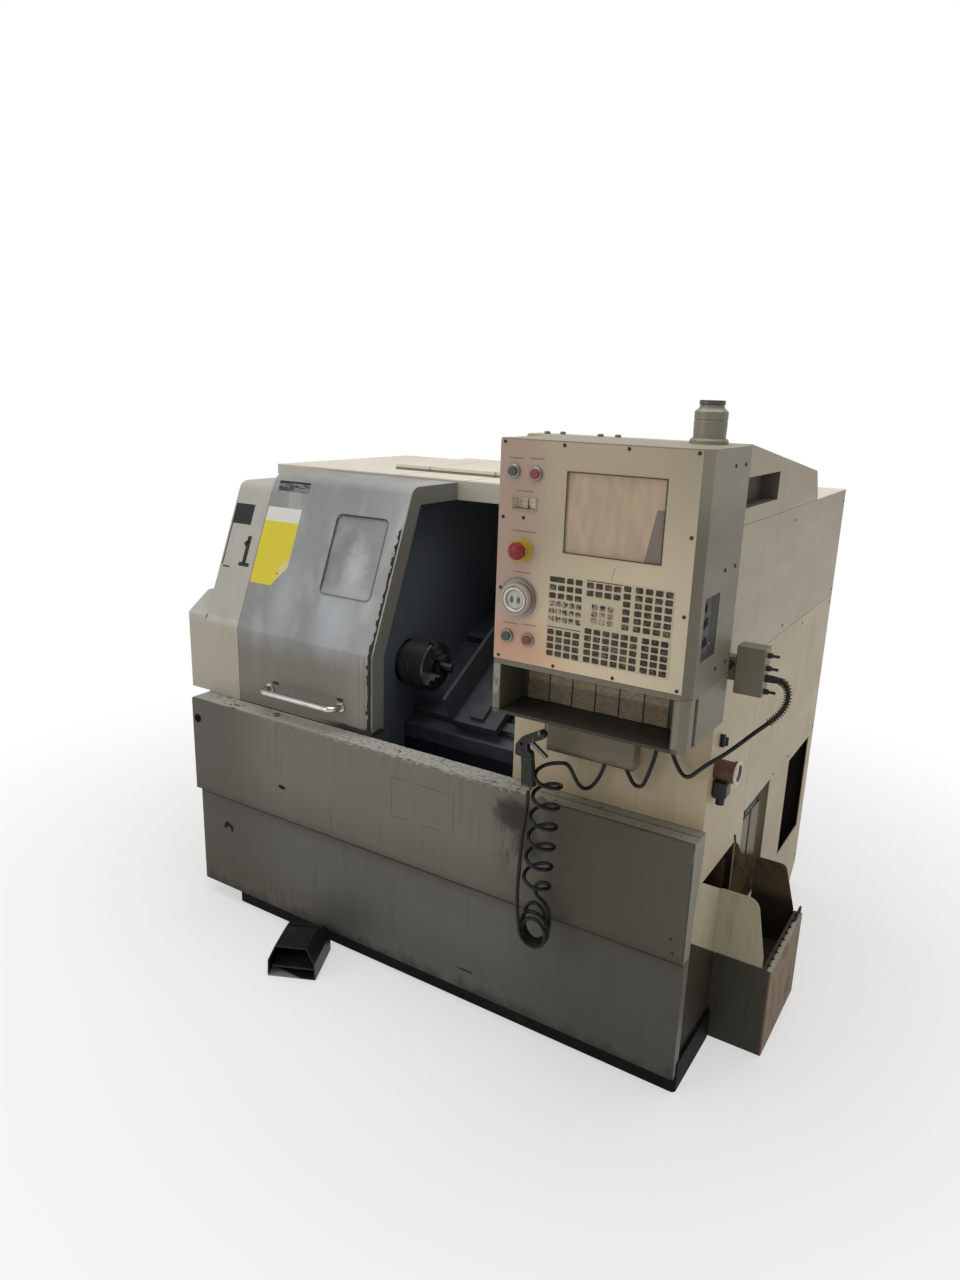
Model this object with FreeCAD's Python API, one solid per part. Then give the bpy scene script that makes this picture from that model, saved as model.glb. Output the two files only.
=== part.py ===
import FreeCAD, Part
import math
import os

# Compact slant-bed CNC turning lathe with a sliding front door, a control box on its
# right front, a coiled air hose and a chip bin at its right end.
# Millimetres.  While it is drawn, X runs right from the left end of the front apron,
# Y runs back from the apron's face and Z runs up from the floor.  save() moves every
# piece so that the origin lies on the floor under the middle of the machine.

os.makedirs("parts", exist_ok=True)
V = FreeCAD.Vector

# ---- driving dimensions ------------------------------------------------------------
apron_length = 1760.0        # front sheet-metal apron, left end to right end
machine_depth = 1310.0       # apron face to back wall
sheet = 3.0                  # sheet-metal gauge of the covers
running_gap = 2.0            # between a sliding cover and what it passes
seat_gap = 0.3               # between a moving piece and the guide it rides in
shaft_gap = 0.05             # radial clearance of a turning shaft

apron_foot = 53.0            # lower edge of the apron above the floor
apron_joint = 401.0          # between the lower panel and the upper band
apron_top = 732.0            # height of the ledge under the door
ledge_depth = 76.0           # apron face to the enclosure's front plane
lower_setback = 11.0         # how far the lower panel stands behind the band

knee_height = 984.0          # where the enclosure's front starts to lean back
crown_y = 274.0              # top front corner of the door
roof_height = 1478.0
crown_height = roof_height - 6.0
crown_radius = 40.0
cabinet_back = 885.0         # back of the raised cabinet on the right
cabinet_rise = 180.0         # its flat top, and the top of the control box, above the roof
cabinet_top = roof_height + cabinet_rise
roof_front = 515.0           # front edge of the fixed roof
roof_left = -86.0            # left end of the roof and of the rear housing
hem_drop = 62.0              # depth of the roof's front hem

apron_overhang = 9.0         # apron's right end past the right side wall
housing_width = 539.0        # door opening's right edge to the right side wall
right_face = apron_length - apron_overhang
opening_right = right_face - housing_width
opening_left = 718.0         # door opening, left edge when the door is open
cover_width = 150.0          # fixed cover at the left end
door_left = cover_width + running_gap

spindle_y = 360.0            # spindle axis
spindle_height = 895.0
slant_deg = 31.0             # lean of the bed and of the cross slide


# ---- drawing helpers ---------------------------------------------------------------
def block(x0, x1, y0, y1, z0, z1):
    return Part.makeBox(x1 - x0, y1 - y0, z1 - z0, V(x0, y0, z0))


def rod(x, y, z, direction, radius, length):
    return Part.makeCylinder(radius, length, V(x, y, z), V(*direction))


def loop_face(points, place):
    """Closed face through 2-D corners; a third number rounds that corner."""
    corners = []
    for i, point in enumerate(points):
        here = V(point[0], point[1], 0)
        radius = point[2] if len(point) > 2 else 0
        if radius <= 0:
            corners.append((here, None, here))
            continue
        last = points[i - 1]
        after = points[(i + 1) % len(points)]
        back = (V(last[0], last[1], 0) - here).normalize()
        ahead = (V(after[0], after[1], 0) - here).normalize()
        half = back.getAngle(ahead) / 2
        reach = radius / math.tan(half)
        middle = here + (back + ahead).normalize() * (radius / math.sin(half) - radius)
        corners.append((here + back * reach, middle, here + ahead * reach))
    edges = []
    for i, (start, middle, stop) in enumerate(corners):
        if middle is not None:
            edges.append(Part.Arc(place(start), place(middle), place(stop)).toShape())
        following = corners[(i + 1) % len(corners)][0]
        if (following - stop).Length > 1e-6:
            edges.append(Part.LineSegment(place(stop), place(following)).toShape())
    return Part.Face(Part.Wire(edges))


def along_x(points, x0, x1):
    """Prism of (y, z) corners from x0 to x1."""
    return loop_face(points, lambda p: V(x0, p.x, p.y)).extrude(V(x1 - x0, 0, 0))


def along_y(points, y0, y1):
    """Prism of (x, z) corners from y0 to y1."""
    return loop_face(points, lambda p: V(p.x, y0, p.y)).extrude(V(0, y1 - y0, 0))


def along_z(points, z0, z1):
    """Prism of (x, y) corners from z0 to z1."""
    return loop_face(points, lambda p: V(p.x, p.y, z0)).extrude(V(0, 0, z1 - z0))


def inset_line(points, depth):
    """The open line moved sideways by depth, to the right of its direction."""
    moved = []
    flat = [V(p[0], p[1], 0) for p in points]
    for i, here in enumerate(flat):
        sides = []
        if i > 0:
            sides.append((here - flat[i - 1]).normalize())
        if i < len(flat) - 1:
            sides.append((flat[i + 1] - here).normalize())
        normals = [V(d.y, -d.x, 0) for d in sides]
        mean = normals[0] if len(normals) == 1 else (normals[0] + normals[1]).normalize()
        spot = here + mean * (depth / mean.dot(normals[0]))
        radius = points[i][2] if len(points[i]) > 2 else 0
        moved.append((spot.x, spot.y, max(radius - depth, 0)))
    return moved


def folded(points, depth):
    """Outline of a bent sheet: the line, and back along its inner side."""
    return list(points) + list(reversed(inset_line(points, depth)))


def joined(*shapes):
    return shapes[0].multiFuse(list(shapes[1:])).removeSplitter()


def save(name, shape):
    """Export a node in the machine's frame: origin on the floor under its middle."""
    moved = shape.copy()
    moved.translate(V(-apron_length / 2, -machine_depth / 2, 0))
    moved.exportStep("parts/" + name + ".step")


def slant(u, n):
    """(y, z) of a spot u along the bed's slope and n above it, from the spindle axis."""
    lean = math.radians(slant_deg)
    return (spindle_y + u * math.cos(lean) - n * math.sin(lean),
            spindle_height + u * math.sin(lean) + n * math.cos(lean))


# ---- plinth: the black cast foot of the machine --------------------------------------
plinth_left = 159.0
plinth_front = 30.0
plinth_back = 1240.0
plinth_height = 90.0
plinth_step_y = 290.0        # behind this the chip tank stands beside the plinth
plinth_toe = 12.0            # how far the plinth's front stands out past the side wall
plinth_right = right_face + plinth_toe
plinth_recess = 7.0
plinth_corner = 12.0
plinth = along_z([(plinth_left, plinth_front, plinth_corner),
                  (plinth_right, plinth_front, plinth_corner),
                  (plinth_right, plinth_step_y),
                  (right_face - plinth_recess, plinth_step_y),
                  (right_face - plinth_recess, plinth_back, plinth_corner),
                  (plinth_left, plinth_back, plinth_corner)], 0, plinth_height)
save("base_plinth", plinth)

# ---- slant bed: ribbed casting with two hardened ways along X --------------------------
bed_left = 200.0
bed_right = opening_right - 12.0
bed_back = 1000.0
bed_drop = 172.0             # spindle axis to the bed's slanted face
bed_low = -120.0             # lower and upper end of that face, along the slope
bed_high = 560.0
bed_toe = 420.0              # height where the bed's front turns under
bed_toe_y = 480.0
bed_nose = 130.0
way_width = 34.0
way_height = 26.0
way_left = 660.0
way_lip = 8.0                # step under the way's edge that the saddle's shoe grips
way_neck = 6.0
way_low = -60.0              # centre lines of the two ways
way_high = 300.0
low_y, low_z = slant(bed_low, -bed_drop)
high_y, high_z = slant(bed_high, -bed_drop)
bed = along_x([(low_y, low_z, 12), (high_y, high_z, 12), (bed_back, high_z),
               (bed_back, plinth_height), (bed_toe_y, plinth_height), (bed_toe_y, bed_toe),
               (low_y, low_z - bed_nose)], bed_left, bed_right)
for way_u in (way_low, way_high):
    half = way_width / 2
    left_side = [(-half, -2), (-half, way_lip), (-half + way_neck, way_height / 2),
                 (-half, way_height - way_lip), (-half, way_height)]
    right_side = [(-u, n) for u, n in reversed(left_side)]
    profile = [slant(way_u + u, n - bed_drop) for u, n in left_side + right_side]
    bed = bed.fuse(along_x(profile, way_left, bed_right - 20))
save("bed_casting", bed.removeSplitter())

# ---- front apron: upper band with its ledge, and the set-back lower panel ---------------
end_flange = 46.0
band = along_x(folded([(end_flange, apron_joint), (0, apron_joint, 4), (0, apron_top, 6),
                       (ledge_depth, apron_top)], sheet), 0, apron_length)
band_end = [(0, apron_joint), (0, apron_top, 6), (ledge_depth, apron_top),
            (ledge_depth, apron_top - 60), (end_flange, apron_joint + 90),
            (end_flange, apron_joint)]
band = joined(band, along_x(band_end, 0, sheet),
              along_x(band_end, apron_length - sheet, apron_length))
save("apron_band", band)

panel_left = 12.0
panel_top = apron_joint - 0.5
panel = block(panel_left, apron_length, lower_setback, lower_setback + sheet,
              apron_foot, panel_top)
panel_end = [(lower_setback, apron_foot), (plinth_front - running_gap, apron_foot),
             (plinth_front - running_gap, plinth_height + running_gap),
             (end_flange, plinth_height + running_gap), (end_flange, panel_top),
             (lower_setback, panel_top)]
panel = joined(panel,
               along_x(panel_end, panel_left, panel_left + sheet),
               along_x(panel_end, apron_length - sheet, apron_length),
               block(panel_left, apron_length, lower_setback, plinth_front - running_gap,
                     apron_foot, apron_foot + sheet))
save("apron_panel", panel)

# ---- left end: tall fixed cover with a rolled crown, and the low belt cover --------------
cover_crown = roof_height - 38.0
lean_y = crown_y - ledge_depth
lean_z = crown_height - knee_height
cover_crown_y = ledge_depth + lean_y * (cover_crown - knee_height) / lean_z
enclosure_foot = apron_top + 1
cover_line = [(ledge_depth, enclosure_foot), (ledge_depth, knee_height, 14),
              (cover_crown_y, cover_crown, crown_radius), (roof_front, cover_crown)]
cover_flange = 48.0
belt_door = (130.0, 470.0, 770.0, 1020.0)     # y and z of the hole to the belt cover
cover = along_x(folded(cover_line, sheet), 0, cover_width)
cover_wall = along_x(cover_line + [(roof_front, enclosure_foot)], 0, sheet)
cover_wall = cover_wall.cut(block(-5, 10, *belt_door))
cover_rim = along_x(folded(cover_line, cover_flange), cover_width - sheet, cover_width)
save("left_cover", joined(cover, cover_wall, cover_rim))

belt_cover_width = 83.0
belt_cover_back = 520.0
belt_cover_foot = apron_top + 5
belt_cover_top = 1065.0
belt_shoulder = (1003.0, 165.0)               # z and y where its front leans back
belt_line = [(ledge_depth, belt_cover_foot), (ledge_depth, belt_shoulder[0], 12),
             (belt_shoulder[1], belt_cover_top, 14), (belt_cover_back, belt_cover_top),
             (belt_cover_back, belt_cover_foot)]
belt_inner = [(ledge_depth + sheet, belt_cover_foot + sheet),
              (ledge_depth + sheet, belt_shoulder[0] - 2, 9),
              (belt_shoulder[1] + 1, belt_cover_top - sheet, 11),
              (belt_cover_back - sheet, belt_cover_top - sheet),
              (belt_cover_back - sheet, belt_cover_foot + sheet)]
belt_cover = along_x(belt_line, -belt_cover_width, 0)
belt_cover = belt_cover.cut(along_x(belt_inner, -belt_cover_width + sheet, 1))
save("belt_cover", belt_cover)

# ---- fixed front panel behind the open door ---------------------------------------------
door_stand = 36.0            # door skin to the fixed panel behind it
door_line = [(ledge_depth, apron_top + 3), (ledge_depth, knee_height, 14),
             (crown_y, crown_height, crown_radius), (roof_front - 7, crown_height)]
inner_edge = opening_left - 18
inner_line = inset_line([(ledge_depth, enclosure_foot), (ledge_depth, knee_height, 50),
                         (crown_y, crown_height, 76), (roof_front, crown_height)],
                        door_stand)
fixed = along_x(folded(inner_line, sheet), cover_width + 0.5, inner_edge)
save("fixed_front_panel", fixed)

# ---- work liner: left wall with the spindle hole, and the back wall of the work area ------
liner_x = 640.0
liner_foot = 600.0
liner_back = 930.0
liner_top = roof_height - hem_drop - running_gap
liner_gap = 3.0
chuck_hole = 74.0
low_lip = slant(bed_low, -bed_drop + liner_gap)
high_lip = (liner_back, high_z + liner_gap)
turn = slant(bed_high, -bed_drop + liner_gap)
pan_front = 100.0
liner_front = inset_line(inner_line, sheet + 1)
liner_wall = along_x([(liner_front[0][0], liner_foot), liner_front[0][:2],
                      liner_front[1][:2], (liner_front[2][0], liner_top),
                      (liner_back, liner_top), high_lip, turn, low_lip,
                      (low_lip[0] - liner_gap, liner_foot)],
                     liner_x - sheet, liner_x)
liner_wall = liner_wall.cut(rod(liner_x - 10, spindle_y, spindle_height, (1, 0, 0),
                                chuck_hole, 20))
liner_wall = liner_wall.cut(block(liner_x - 10, liner_x + 10, low_lip[0] - liner_gap,
                                  liner_back, liner_foot - 10, low_lip[1] - 0.5))
liner_rear = block(liner_x - sheet, opening_right - 1, liner_back - sheet, liner_back,
                   high_lip[1], liner_top)
save("work_liner", joined(liner_wall, liner_rear))

# ---- chip trough: sloping gutter in front of the bed, falling to the right ------------------
trough_back = low_y - 2
trough_high = 575.0
trough_low = 345.0
trough_left = liner_x + 2
trough_end = right_face - sheet - 5
trough_lip = 640.0


def trough_slope(lift):
    return [(trough_left, trough_high + lift), (trough_end, trough_low + lift),
            (trough_end, trough_low - sheet), (trough_left, trough_high - sheet)]


trough_wall = [(trough_left, trough_high), (trough_left, trough_lip),
               (bed_right, trough_lip), (trough_end, trough_low + 190),
               (trough_end, trough_low)]
trough = joined(along_y(trough_slope(0), pan_front, trough_back),
                along_y(trough_wall, pan_front, pan_front + sheet),
                along_y(trough_wall, trough_back - sheet, trough_back))
save("chip_trough", trough)

# ---- roof with its front hem, and the raised hatch ------------------------------------------
roof = along_x(folded([(roof_front, roof_height - hem_drop), (roof_front, roof_height),
                       (machine_depth - 1, roof_height)], sheet),
               cover_width + 0.5, opening_right - 1)
end_front = belt_cover_back
roof_end = along_x(folded([(end_front, cover_crown + 2), (end_front, roof_height),
                           (machine_depth - 1, roof_height)], sheet),
                   roof_left, cover_width + 0.5)
roof_right = block(opening_right - 1, right_face, cabinet_back + running_gap, machine_depth - 1,
                   roof_height - sheet, roof_height)
save("roof_panel", joined(roof, roof_end, roof_right))

hatch_lift = 18.0
hatch_left = 322.0
hatch_right = 900.0
hatch_front = 700.0
hatch_back = 1180.0
hatch = block(hatch_left, hatch_right, hatch_front, hatch_back, roof_height,
              roof_height + hatch_lift)
hatch = hatch.cut(block(hatch_left + sheet, hatch_right - sheet, hatch_front + sheet,
                        hatch_back - sheet, roof_height - 1,
                        roof_height + hatch_lift - sheet))
save("roof_hatch", hatch)

# ---- rear housing: left wall, its narrow front and the back wall, one folded sheet -----------
rear_foot = 95.0
rear_top = roof_height - sheet - 0.5
rear_front_y = belt_cover_back + 1
inner_wall = 2 * sheet + 0.5                  # inner face of the wall below the left cover
rear_left = along_x([(rear_front_y, rear_foot), (rear_front_y, cover_crown),
                     (rear_front_y + sheet + 1, cover_crown), (rear_front_y + sheet + 1, rear_top),
                     (machine_depth, rear_top), (machine_depth, rear_foot)],
                    roof_left, roof_left + sheet)
rear_front = block(roof_left, inner_wall, rear_front_y, rear_front_y + sheet,
                   rear_foot, cover_crown)
ledge_under = apron_top - sheet - 0.5
low_wall = along_x([(end_flange + 1, rear_foot), (end_flange + 1, ledge_under),
                    (ledge_depth + 1, ledge_under), (ledge_depth + 1, apron_top + 0.5),
                    (rear_front_y + sheet, apron_top + 0.5), (rear_front_y + sheet, rear_foot)],
                   inner_wall - sheet, inner_wall)
rear_wall = block(roof_left, right_face - sheet - 1, machine_depth - sheet, machine_depth,
                  rear_foot, rear_top)
louvre_rows = 6
louvre_pitch = 26.0
louvre_length = 220.0
louvre_height = 9.0
louvre_low = 300.0
louvre = Part.makeBox(louvre_length, 5 * sheet, louvre_height)
for row in range(louvre_rows):
    for louvre_x in (bed_left + 100, opening_right - 62):
        slit = louvre.copy()
        slit.translate(V(louvre_x, machine_depth - 4 * sheet, louvre_low + row * louvre_pitch))
        rear_wall = rear_wall.cut(slit)
save("rear_housing", joined(rear_left, rear_front, low_wall, rear_wall))

# ---- right housing: front wall with its return, side walls with their cut-outs ----------------
front_wall = along_z(folded([(opening_right, liner_back - 60), (opening_right, ledge_depth),
                             (right_face, ledge_depth)], -sheet),
                     trough_lip + 6, roof_height - sheet)
front_wall = front_wall.cut(block(opening_right - 5, right_face + 5, 0,
                                  ledge_depth + sheet + 2, 0, enclosure_foot))
tall_front = block(opening_right, right_face, ledge_depth, ledge_depth + sheet,
                   roof_height - sheet, cabinet_top - sheet)
plate_right = right_face + 3.0
plate_width = 457.0
plate_left = plate_right - plate_width
plate_height = 498.0
plate_high = cabinet_top - 3.0
plate_low = plate_high - plate_height
shroud_low = plate_low - 14.0
tray_height = 120.0
tray_low = shroud_low - tray_height
side_seam = tray_low + 95.0                  # between the two sheets of the side wall
duct_left = plate_left + 43.0                # cable duct under the tray, open below
duct_right = duct_left + 240.0
duct_share = 0.533                           # of the height between ledge and tray
duct_high = tray_low - 2.0
duct_low = duct_high - duct_share * (tray_low - apron_top)
duct_face = 20.0
duct_line = [(ledge_depth + 1, duct_high), (duct_face, duct_high), (duct_face, duct_low)]
duct = along_x(folded(duct_line, -sheet), duct_left, duct_right)
duct_end = along_x(duct_line + [(ledge_depth + 1, duct_low)], duct_right - sheet, duct_right)
save("right_front_wall", joined(front_wall, tall_front, duct, duct_end))

side_front = ledge_depth + sheet + 0.5
side_top = roof_height - sheet
side_in = right_face - sheet
save("side_wall_upper", block(side_in, right_face, side_front, machine_depth,
                              side_seam + 0.75, side_top))

seam_y = 449.0
chute_hole = (110.0, 400.0, 352.0, 570.0)       # y and z of the three cut-outs
column_hole = (458.0, 730.0, 280.0, 634.0)
vent_hole = (971.0, 1248.0, 265.0, 612.0)
skirt_low = 10.0                                # the wall's lower edge above the floor
skirt_front = plinth_step_y + 5
lower_wall = along_x([(side_front, plinth_height + running_gap),
                      (skirt_front, plinth_height + running_gap), (skirt_front, skirt_low),
                      (machine_depth - 76, skirt_low), (machine_depth, rear_foot),
                      (machine_depth, side_seam - 0.75), (side_front, side_seam - 0.75)],
                     side_in, right_face)
for hole in (chute_hole, column_hole, vent_hole):
    lower_wall = lower_wall.cut(block(side_in - 5, right_face + 5, *hole))
seam = block(right_face - 1.2, right_face + 1, seam_y - 1, seam_y + 1, column_hole[3],
             side_seam)
save("side_wall_lower", lower_wall.cut(seam))

# ---- upper cabinet on the right: closed hood with a sloping back and a side recess ------------
cabinet_left = opening_right
recess_depth = 46.0
recess_high = cabinet_top - 74.0
recess = (123.0, 421.0, recess_high - 70, recess_high)     # y and z, in its right side
hood_front = ledge_depth + sheet + 0.5
hood_low = roof_height - sheet + 1
hood_fall = 95.0                                # how much lower the hood is at its back
hood_line = [(hood_front, hood_low), (hood_front, cabinet_top, 3), (144, cabinet_top, 30),
             (cabinet_back - 45, cabinet_top - hood_fall, 20), (cabinet_back, hood_low + 11),
             (cabinet_back, hood_low)]
hood = along_x(hood_line, cabinet_left, right_face)
hood = hood.cut(block(right_face - recess_depth, right_face + 5, *recess))
save("upper_cabinet", hood)

# ---- beacon on the cabinet roof: flange, turned barrel and cap ------------------------------
beacon_x = right_face - 67.0
beacon_y = 44.0
beacon_radius = 36.0
flange_radius = beacon_radius + 6
cap_radius = 27.0
barrel_height = 68.0
cap_height = 24.0
shroud_top = cabinet_top
beacon_foot = shroud_top + 0.2
barrel_top = shroud_top + barrel_height
beacon_profile = [(0, beacon_foot), (flange_radius, beacon_foot),
                  (flange_radius, shroud_top + 7), (flange_radius - 4, shroud_top + 12),
                  (beacon_radius - 1, shroud_top + 12), (beacon_radius, barrel_top - 20),
                  (beacon_radius - 1.5, barrel_top - 18), (beacon_radius, barrel_top - 16),
                  (beacon_radius, barrel_top), (cap_radius, barrel_top + 8),
                  (cap_radius - 1, barrel_top + 14), (cap_radius + 1, barrel_top + 16),
                  (cap_radius, barrel_top + cap_height), (0, barrel_top + cap_height)]


def turned(profile, x, y):
    """Solid of (radius, z) corners turned about the vertical through x, y."""
    face = loop_face(profile, lambda p: V(p.x, 0, p.y))
    piece = face.revolve(V(0, 0, 0), V(0, 0, 1), 360)
    piece.translate(V(x, y, 0))
    return piece


save("beacon", turned(beacon_profile, beacon_x, beacon_y))

# ---- control box: folded shroud, front plate with its holes, and the tray below --------------
plate_y = -190.0
plate_skin = 3.0
shroud_chamfer = 22.0
shroud_side = plate_right + 17.0
box_line = [(plate_left, ledge_depth - 1), (plate_left, plate_y + plate_skin),
            (plate_right - 1, plate_y + plate_skin),
            (shroud_side, plate_y + plate_skin + shroud_chamfer),
            (shroud_side, ledge_depth - 1)]
box_core = [(plate_left + sheet, ledge_depth - 1 - sheet),
            (plate_left + sheet, plate_y - 5), (plate_right - 16, plate_y - 5),
            (plate_right - 16, plate_y + 24), (shroud_side - sheet, plate_y + 40),
            (shroud_side - sheet, ledge_depth - 1 - sheet)]
shroud = along_z(box_line, shroud_low, shroud_top)
shroud = shroud.cut(along_z(box_core, plate_low + 6, plate_high - 6))
port_hole = (-141.0, -48.0, plate_low + 61, plate_low + 198)     # y and z of a recess
shroud = shroud.cut(block(shroud_side - 1.5, shroud_side + 5, *port_hole))
save("pendant_shroud", shroud)



def on_plate(right, up):
    """x and z of a spot measured from the plate's lower left corner."""
    return plate_left + right, plate_low + up


estop_x, estop_z = on_plate(64, 260)
jog_x, jog_z = on_plate(61, 149)
buttons = {"power_on_button": on_plate(36, 431), "power_off_button": on_plate(91, 428),
           "cycle_start_button": on_plate(35, 58), "feed_hold_button": on_plate(89, 57)}
button_radius = 10.5
bezel_radius = 15.5
stem_radius = 7.0
screen_left, screen_low = on_plate(167, 266)
screen = (screen_left, screen_left + 222, screen_low, screen_low + 172)
meter_left, meter_low = on_plate(35, 348)
meter = (meter_left, meter_left + 60, meter_low, meter_low + 28)
plate = block(plate_left, plate_right, plate_y, plate_y + plate_skin, plate_low, plate_high)
plate = plate.cut(block(screen[0], screen[1], plate_y - 5, plate_y + 10, screen[2], screen[3]))
plate = plate.cut(block(meter[0], meter[1], plate_y - 5, plate_y + 10, meter[2], meter[3]))
estop_stem = 9.0
stems = [(x, z, stem_radius) for x, z in buttons.values()]
stems += [(estop_x, estop_z, estop_stem), (jog_x, jog_z, stem_radius)]
for hole_x, hole_z, passing in stems:
    plate = plate.cut(rod(hole_x, plate_y - 5, hole_z, (0, 1, 0), passing + 1.5, 15))
save("control_plate", plate)

glass_margin = 6.0
glass_back = plate_y + plate_skin + 0.2
save("screen_glass", block(screen[0] - glass_margin, screen[1] + glass_margin,
                           glass_back, glass_back + 4,
                           screen[2] - glass_margin, screen[3] + glass_margin))

key_left, key_low = on_plate(137, 29)
key_sheet = 0.8
key_field = (288.0, 187.0)
save("keypad", block(key_left, key_left + key_field[0], plate_y - key_sheet, plate_y,
                     key_low, key_low + key_field[1]))

# load meter: open case behind the plate, with a needle on a pivot
case_depth = 22.0
case_front = plate_y + plate_skin + 0.2
case = block(meter[0] - 5, meter[1] + 5, case_front, case_front + case_depth,
             meter[2] - 5, meter[3] + 5)
case = case.cut(block(meter[0] + 1, meter[1] - 1, case_front - 1, case_front + case_depth - 5,
                      meter[2] + 1, meter[3] - 1))
needle_x = (meter[0] + meter[1]) / 2
needle_z = meter[2] + 5.0
pivot_radius = 1.5
needle_y = case_front + case_depth - 5
pivot = rod(needle_x, needle_y, needle_z, (0, -1, 0), pivot_radius, 6)
save("load_meter", case.fuse(pivot))
needle_reach = 19.0
needle = rod(needle_x, needle_y - 2, needle_z, (0, -1, 0), 3.2, 2)
needle = needle.fuse(along_y([(needle_x - 1.2, needle_z), (needle_x + 1.2, needle_z),
                              (needle_x + 0.4, needle_z + needle_reach),
                              (needle_x - 0.4, needle_z + needle_reach)],
                             needle_y - 3.5, needle_y - 2.5))
needle = needle.cut(rod(needle_x, needle_y + 1, needle_z, (0, -1, 0),
                        pivot_radius + shaft_gap, 12))
save("meter_needle", needle)

# push buttons: knurled bezel rings on the plate, each round a sprung button
rings = []
for ring_x, ring_z in buttons.values():
    ring = rod(ring_x, plate_y, ring_z, (0, -1, 0), bezel_radius, 7)
    ring = ring.makeChamfer(1.5, [e for e in ring.Edges
                                  if e.BoundBox.YMax < plate_y - 6 and e.Closed])
    rings.append(ring.cut(rod(ring_x, plate_y + 1, ring_z, (0, -1, 0),
                              button_radius + seat_gap, 12)))
for name, (cap_x, cap_z) in buttons.items():
    cap = rod(cap_x, plate_y - 5, cap_z, (0, -1, 0), button_radius, 6)
    stem = rod(cap_x, plate_y + 12, cap_z, (0, -1, 0), stem_radius, 17)
    save(name, cap.fuse(stem))

# emergency stop: yellow ring, red mushroom on a stem
estop_ring_radius = 27.5
mushroom_radius = 20.0
neck_radius = 15.0
collar = rod(estop_x, plate_y, estop_z, (0, -1, 0), estop_ring_radius, 2)
collar = collar.fuse(rod(estop_x, plate_y - 2, estop_z, (0, -1, 0), 15.5, 8))
collar = collar.cut(rod(estop_x, plate_y + 1, estop_z, (0, -1, 0), estop_stem + seat_gap, 15))
save("estop_collar", collar)
head_profile = [(0, 18), (neck_radius, 18), (mushroom_radius, 21), (mushroom_radius, 30, 5),
                (neck_radius - 3, 36), (0, 37)]
head = loop_face(head_profile, lambda p: V(p.x, 0, p.y)).revolve(V(0, 0, 0), V(0, 0, 1), 360)
head = head.fuse(rod(0, 0, -14, (0, 0, 1), estop_stem, 34))
head.rotate(V(0, 0, 0), V(1, 0, 0), 90)
head.translate(V(estop_x, plate_y, estop_z))
save("estop_button", head)

# jog wheel: dish with a finger dimple, turning on a bezel ring
jog_radius = 41.0
bezel = rod(jog_x, plate_y, jog_z, (0, -1, 0), jog_radius + 3, 6)
bezel = bezel.cut(rod(jog_x, plate_y + 1, jog_z, (0, -1, 0), 6 + shaft_gap, 9))
save("panel_bezels", Part.makeCompound(rings + [bezel]))
dial_radius = jog_radius - 5
dial_profile = [(0, 6.5), (dial_radius, 6.5), (dial_radius, 19), (dial_radius - 2, 21),
                (24, 22), (20, 17), (0, 17)]
dial = loop_face(dial_profile, lambda p: V(p.x, 0, p.y)).revolve(V(0, 0, 0), V(0, 0, 1), 360)
dial = dial.fuse(rod(0, 0, -12, (0, 0, 1), 6, 20))
dial = dial.cut(Part.makeSphere(7, V(0, 29, 26)))
dial.rotate(V(0, 0, 0), V(1, 0, 0), 90)
dial.translate(V(jog_x, plate_y, jog_z))
save("jog_wheel", dial)

# tray under the control plate: pocket with a sloped right cheek and open front
tray_floor = tray_low + 8
pocket_left = plate_left + 19
pocket_right = plate_right - 15
pocket_back = -68.0
tray = along_z([(plate_left, ledge_depth - 1), (plate_left, plate_y + 2),
                (plate_right, plate_y + 2), (shroud_side, plate_y + 20),
                (shroud_side, ledge_depth - 1)], tray_low, shroud_low - 0.5)
tray = tray.cut(block(pocket_left, pocket_right, plate_y - 5, pocket_back,
                      tray_floor, shroud_low + 5))
slot = (-143.0, -122.0, tray_low + 4, tray_low + 114)    # upright, in the right cheek
tray = tray.cut(block(shroud_side - 12, shroud_side + 5, *slot))

# ---- door: one bent skin with deep right and shallow left returns ----------------------------
door_right_flange = 55.0
door_left_flange = 24.0
lean_height = crown_height - knee_height
window = (458.0, 656.0, knee_height + 0.3094 * lean_height,
          knee_height + 0.791 * lean_height)     # x and z
skin = along_x(folded(door_line, sheet), door_left, opening_left)
skin = joined(skin,
              along_x(folded(door_line, door_right_flange), opening_left - 11, opening_left),
              along_x(folded(door_line, door_left_flange), door_left, door_left + sheet))


def lean_at(z):
    """Y of the door's leaning face at height z."""
    return ledge_depth + lean_y * (z - knee_height) / lean_z


def on_lean(x0, x1, z0, z1, out, depth, corner):
    """Rounded plate lying on the door's leaning face, out proud of it, depth thick."""
    length = (z1 - z0) * math.hypot(lean_y, lean_z) / lean_z
    piece = along_z([(x0, 0, corner), (x1, 0, corner), (x1, length, corner),
                     (x0, length, corner)], -depth + out, out)
    piece.rotate(V(0, 0, 0), V(1, 0, 0), math.degrees(math.atan2(lean_z, lean_y)))
    piece.translate(V(0, lean_at(z0), z0))
    return piece


window_corner = 24.0
skin = skin.cut(on_lean(*window, 10, 30, window_corner))
save("door_panel", skin)
pane_lap = 8.0
lap_z = pane_lap * lean_z / math.hypot(lean_y, lean_z)
pane = on_lean(window[0] - pane_lap, window[1] + pane_lap, window[2] - lap_z,
               window[3] + lap_z, -sheet - 0.1, 5, window_corner + pane_lap)
save("door_window", pane)

# door handle: tube with two bent legs and foot roses
grip_left = 285.0
grip_right = 605.0
grip_z = 805.0
grip_radius = 10.0
grip_out = 45.0
bend = 22.0
grip_y = ledge_depth - grip_out


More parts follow.
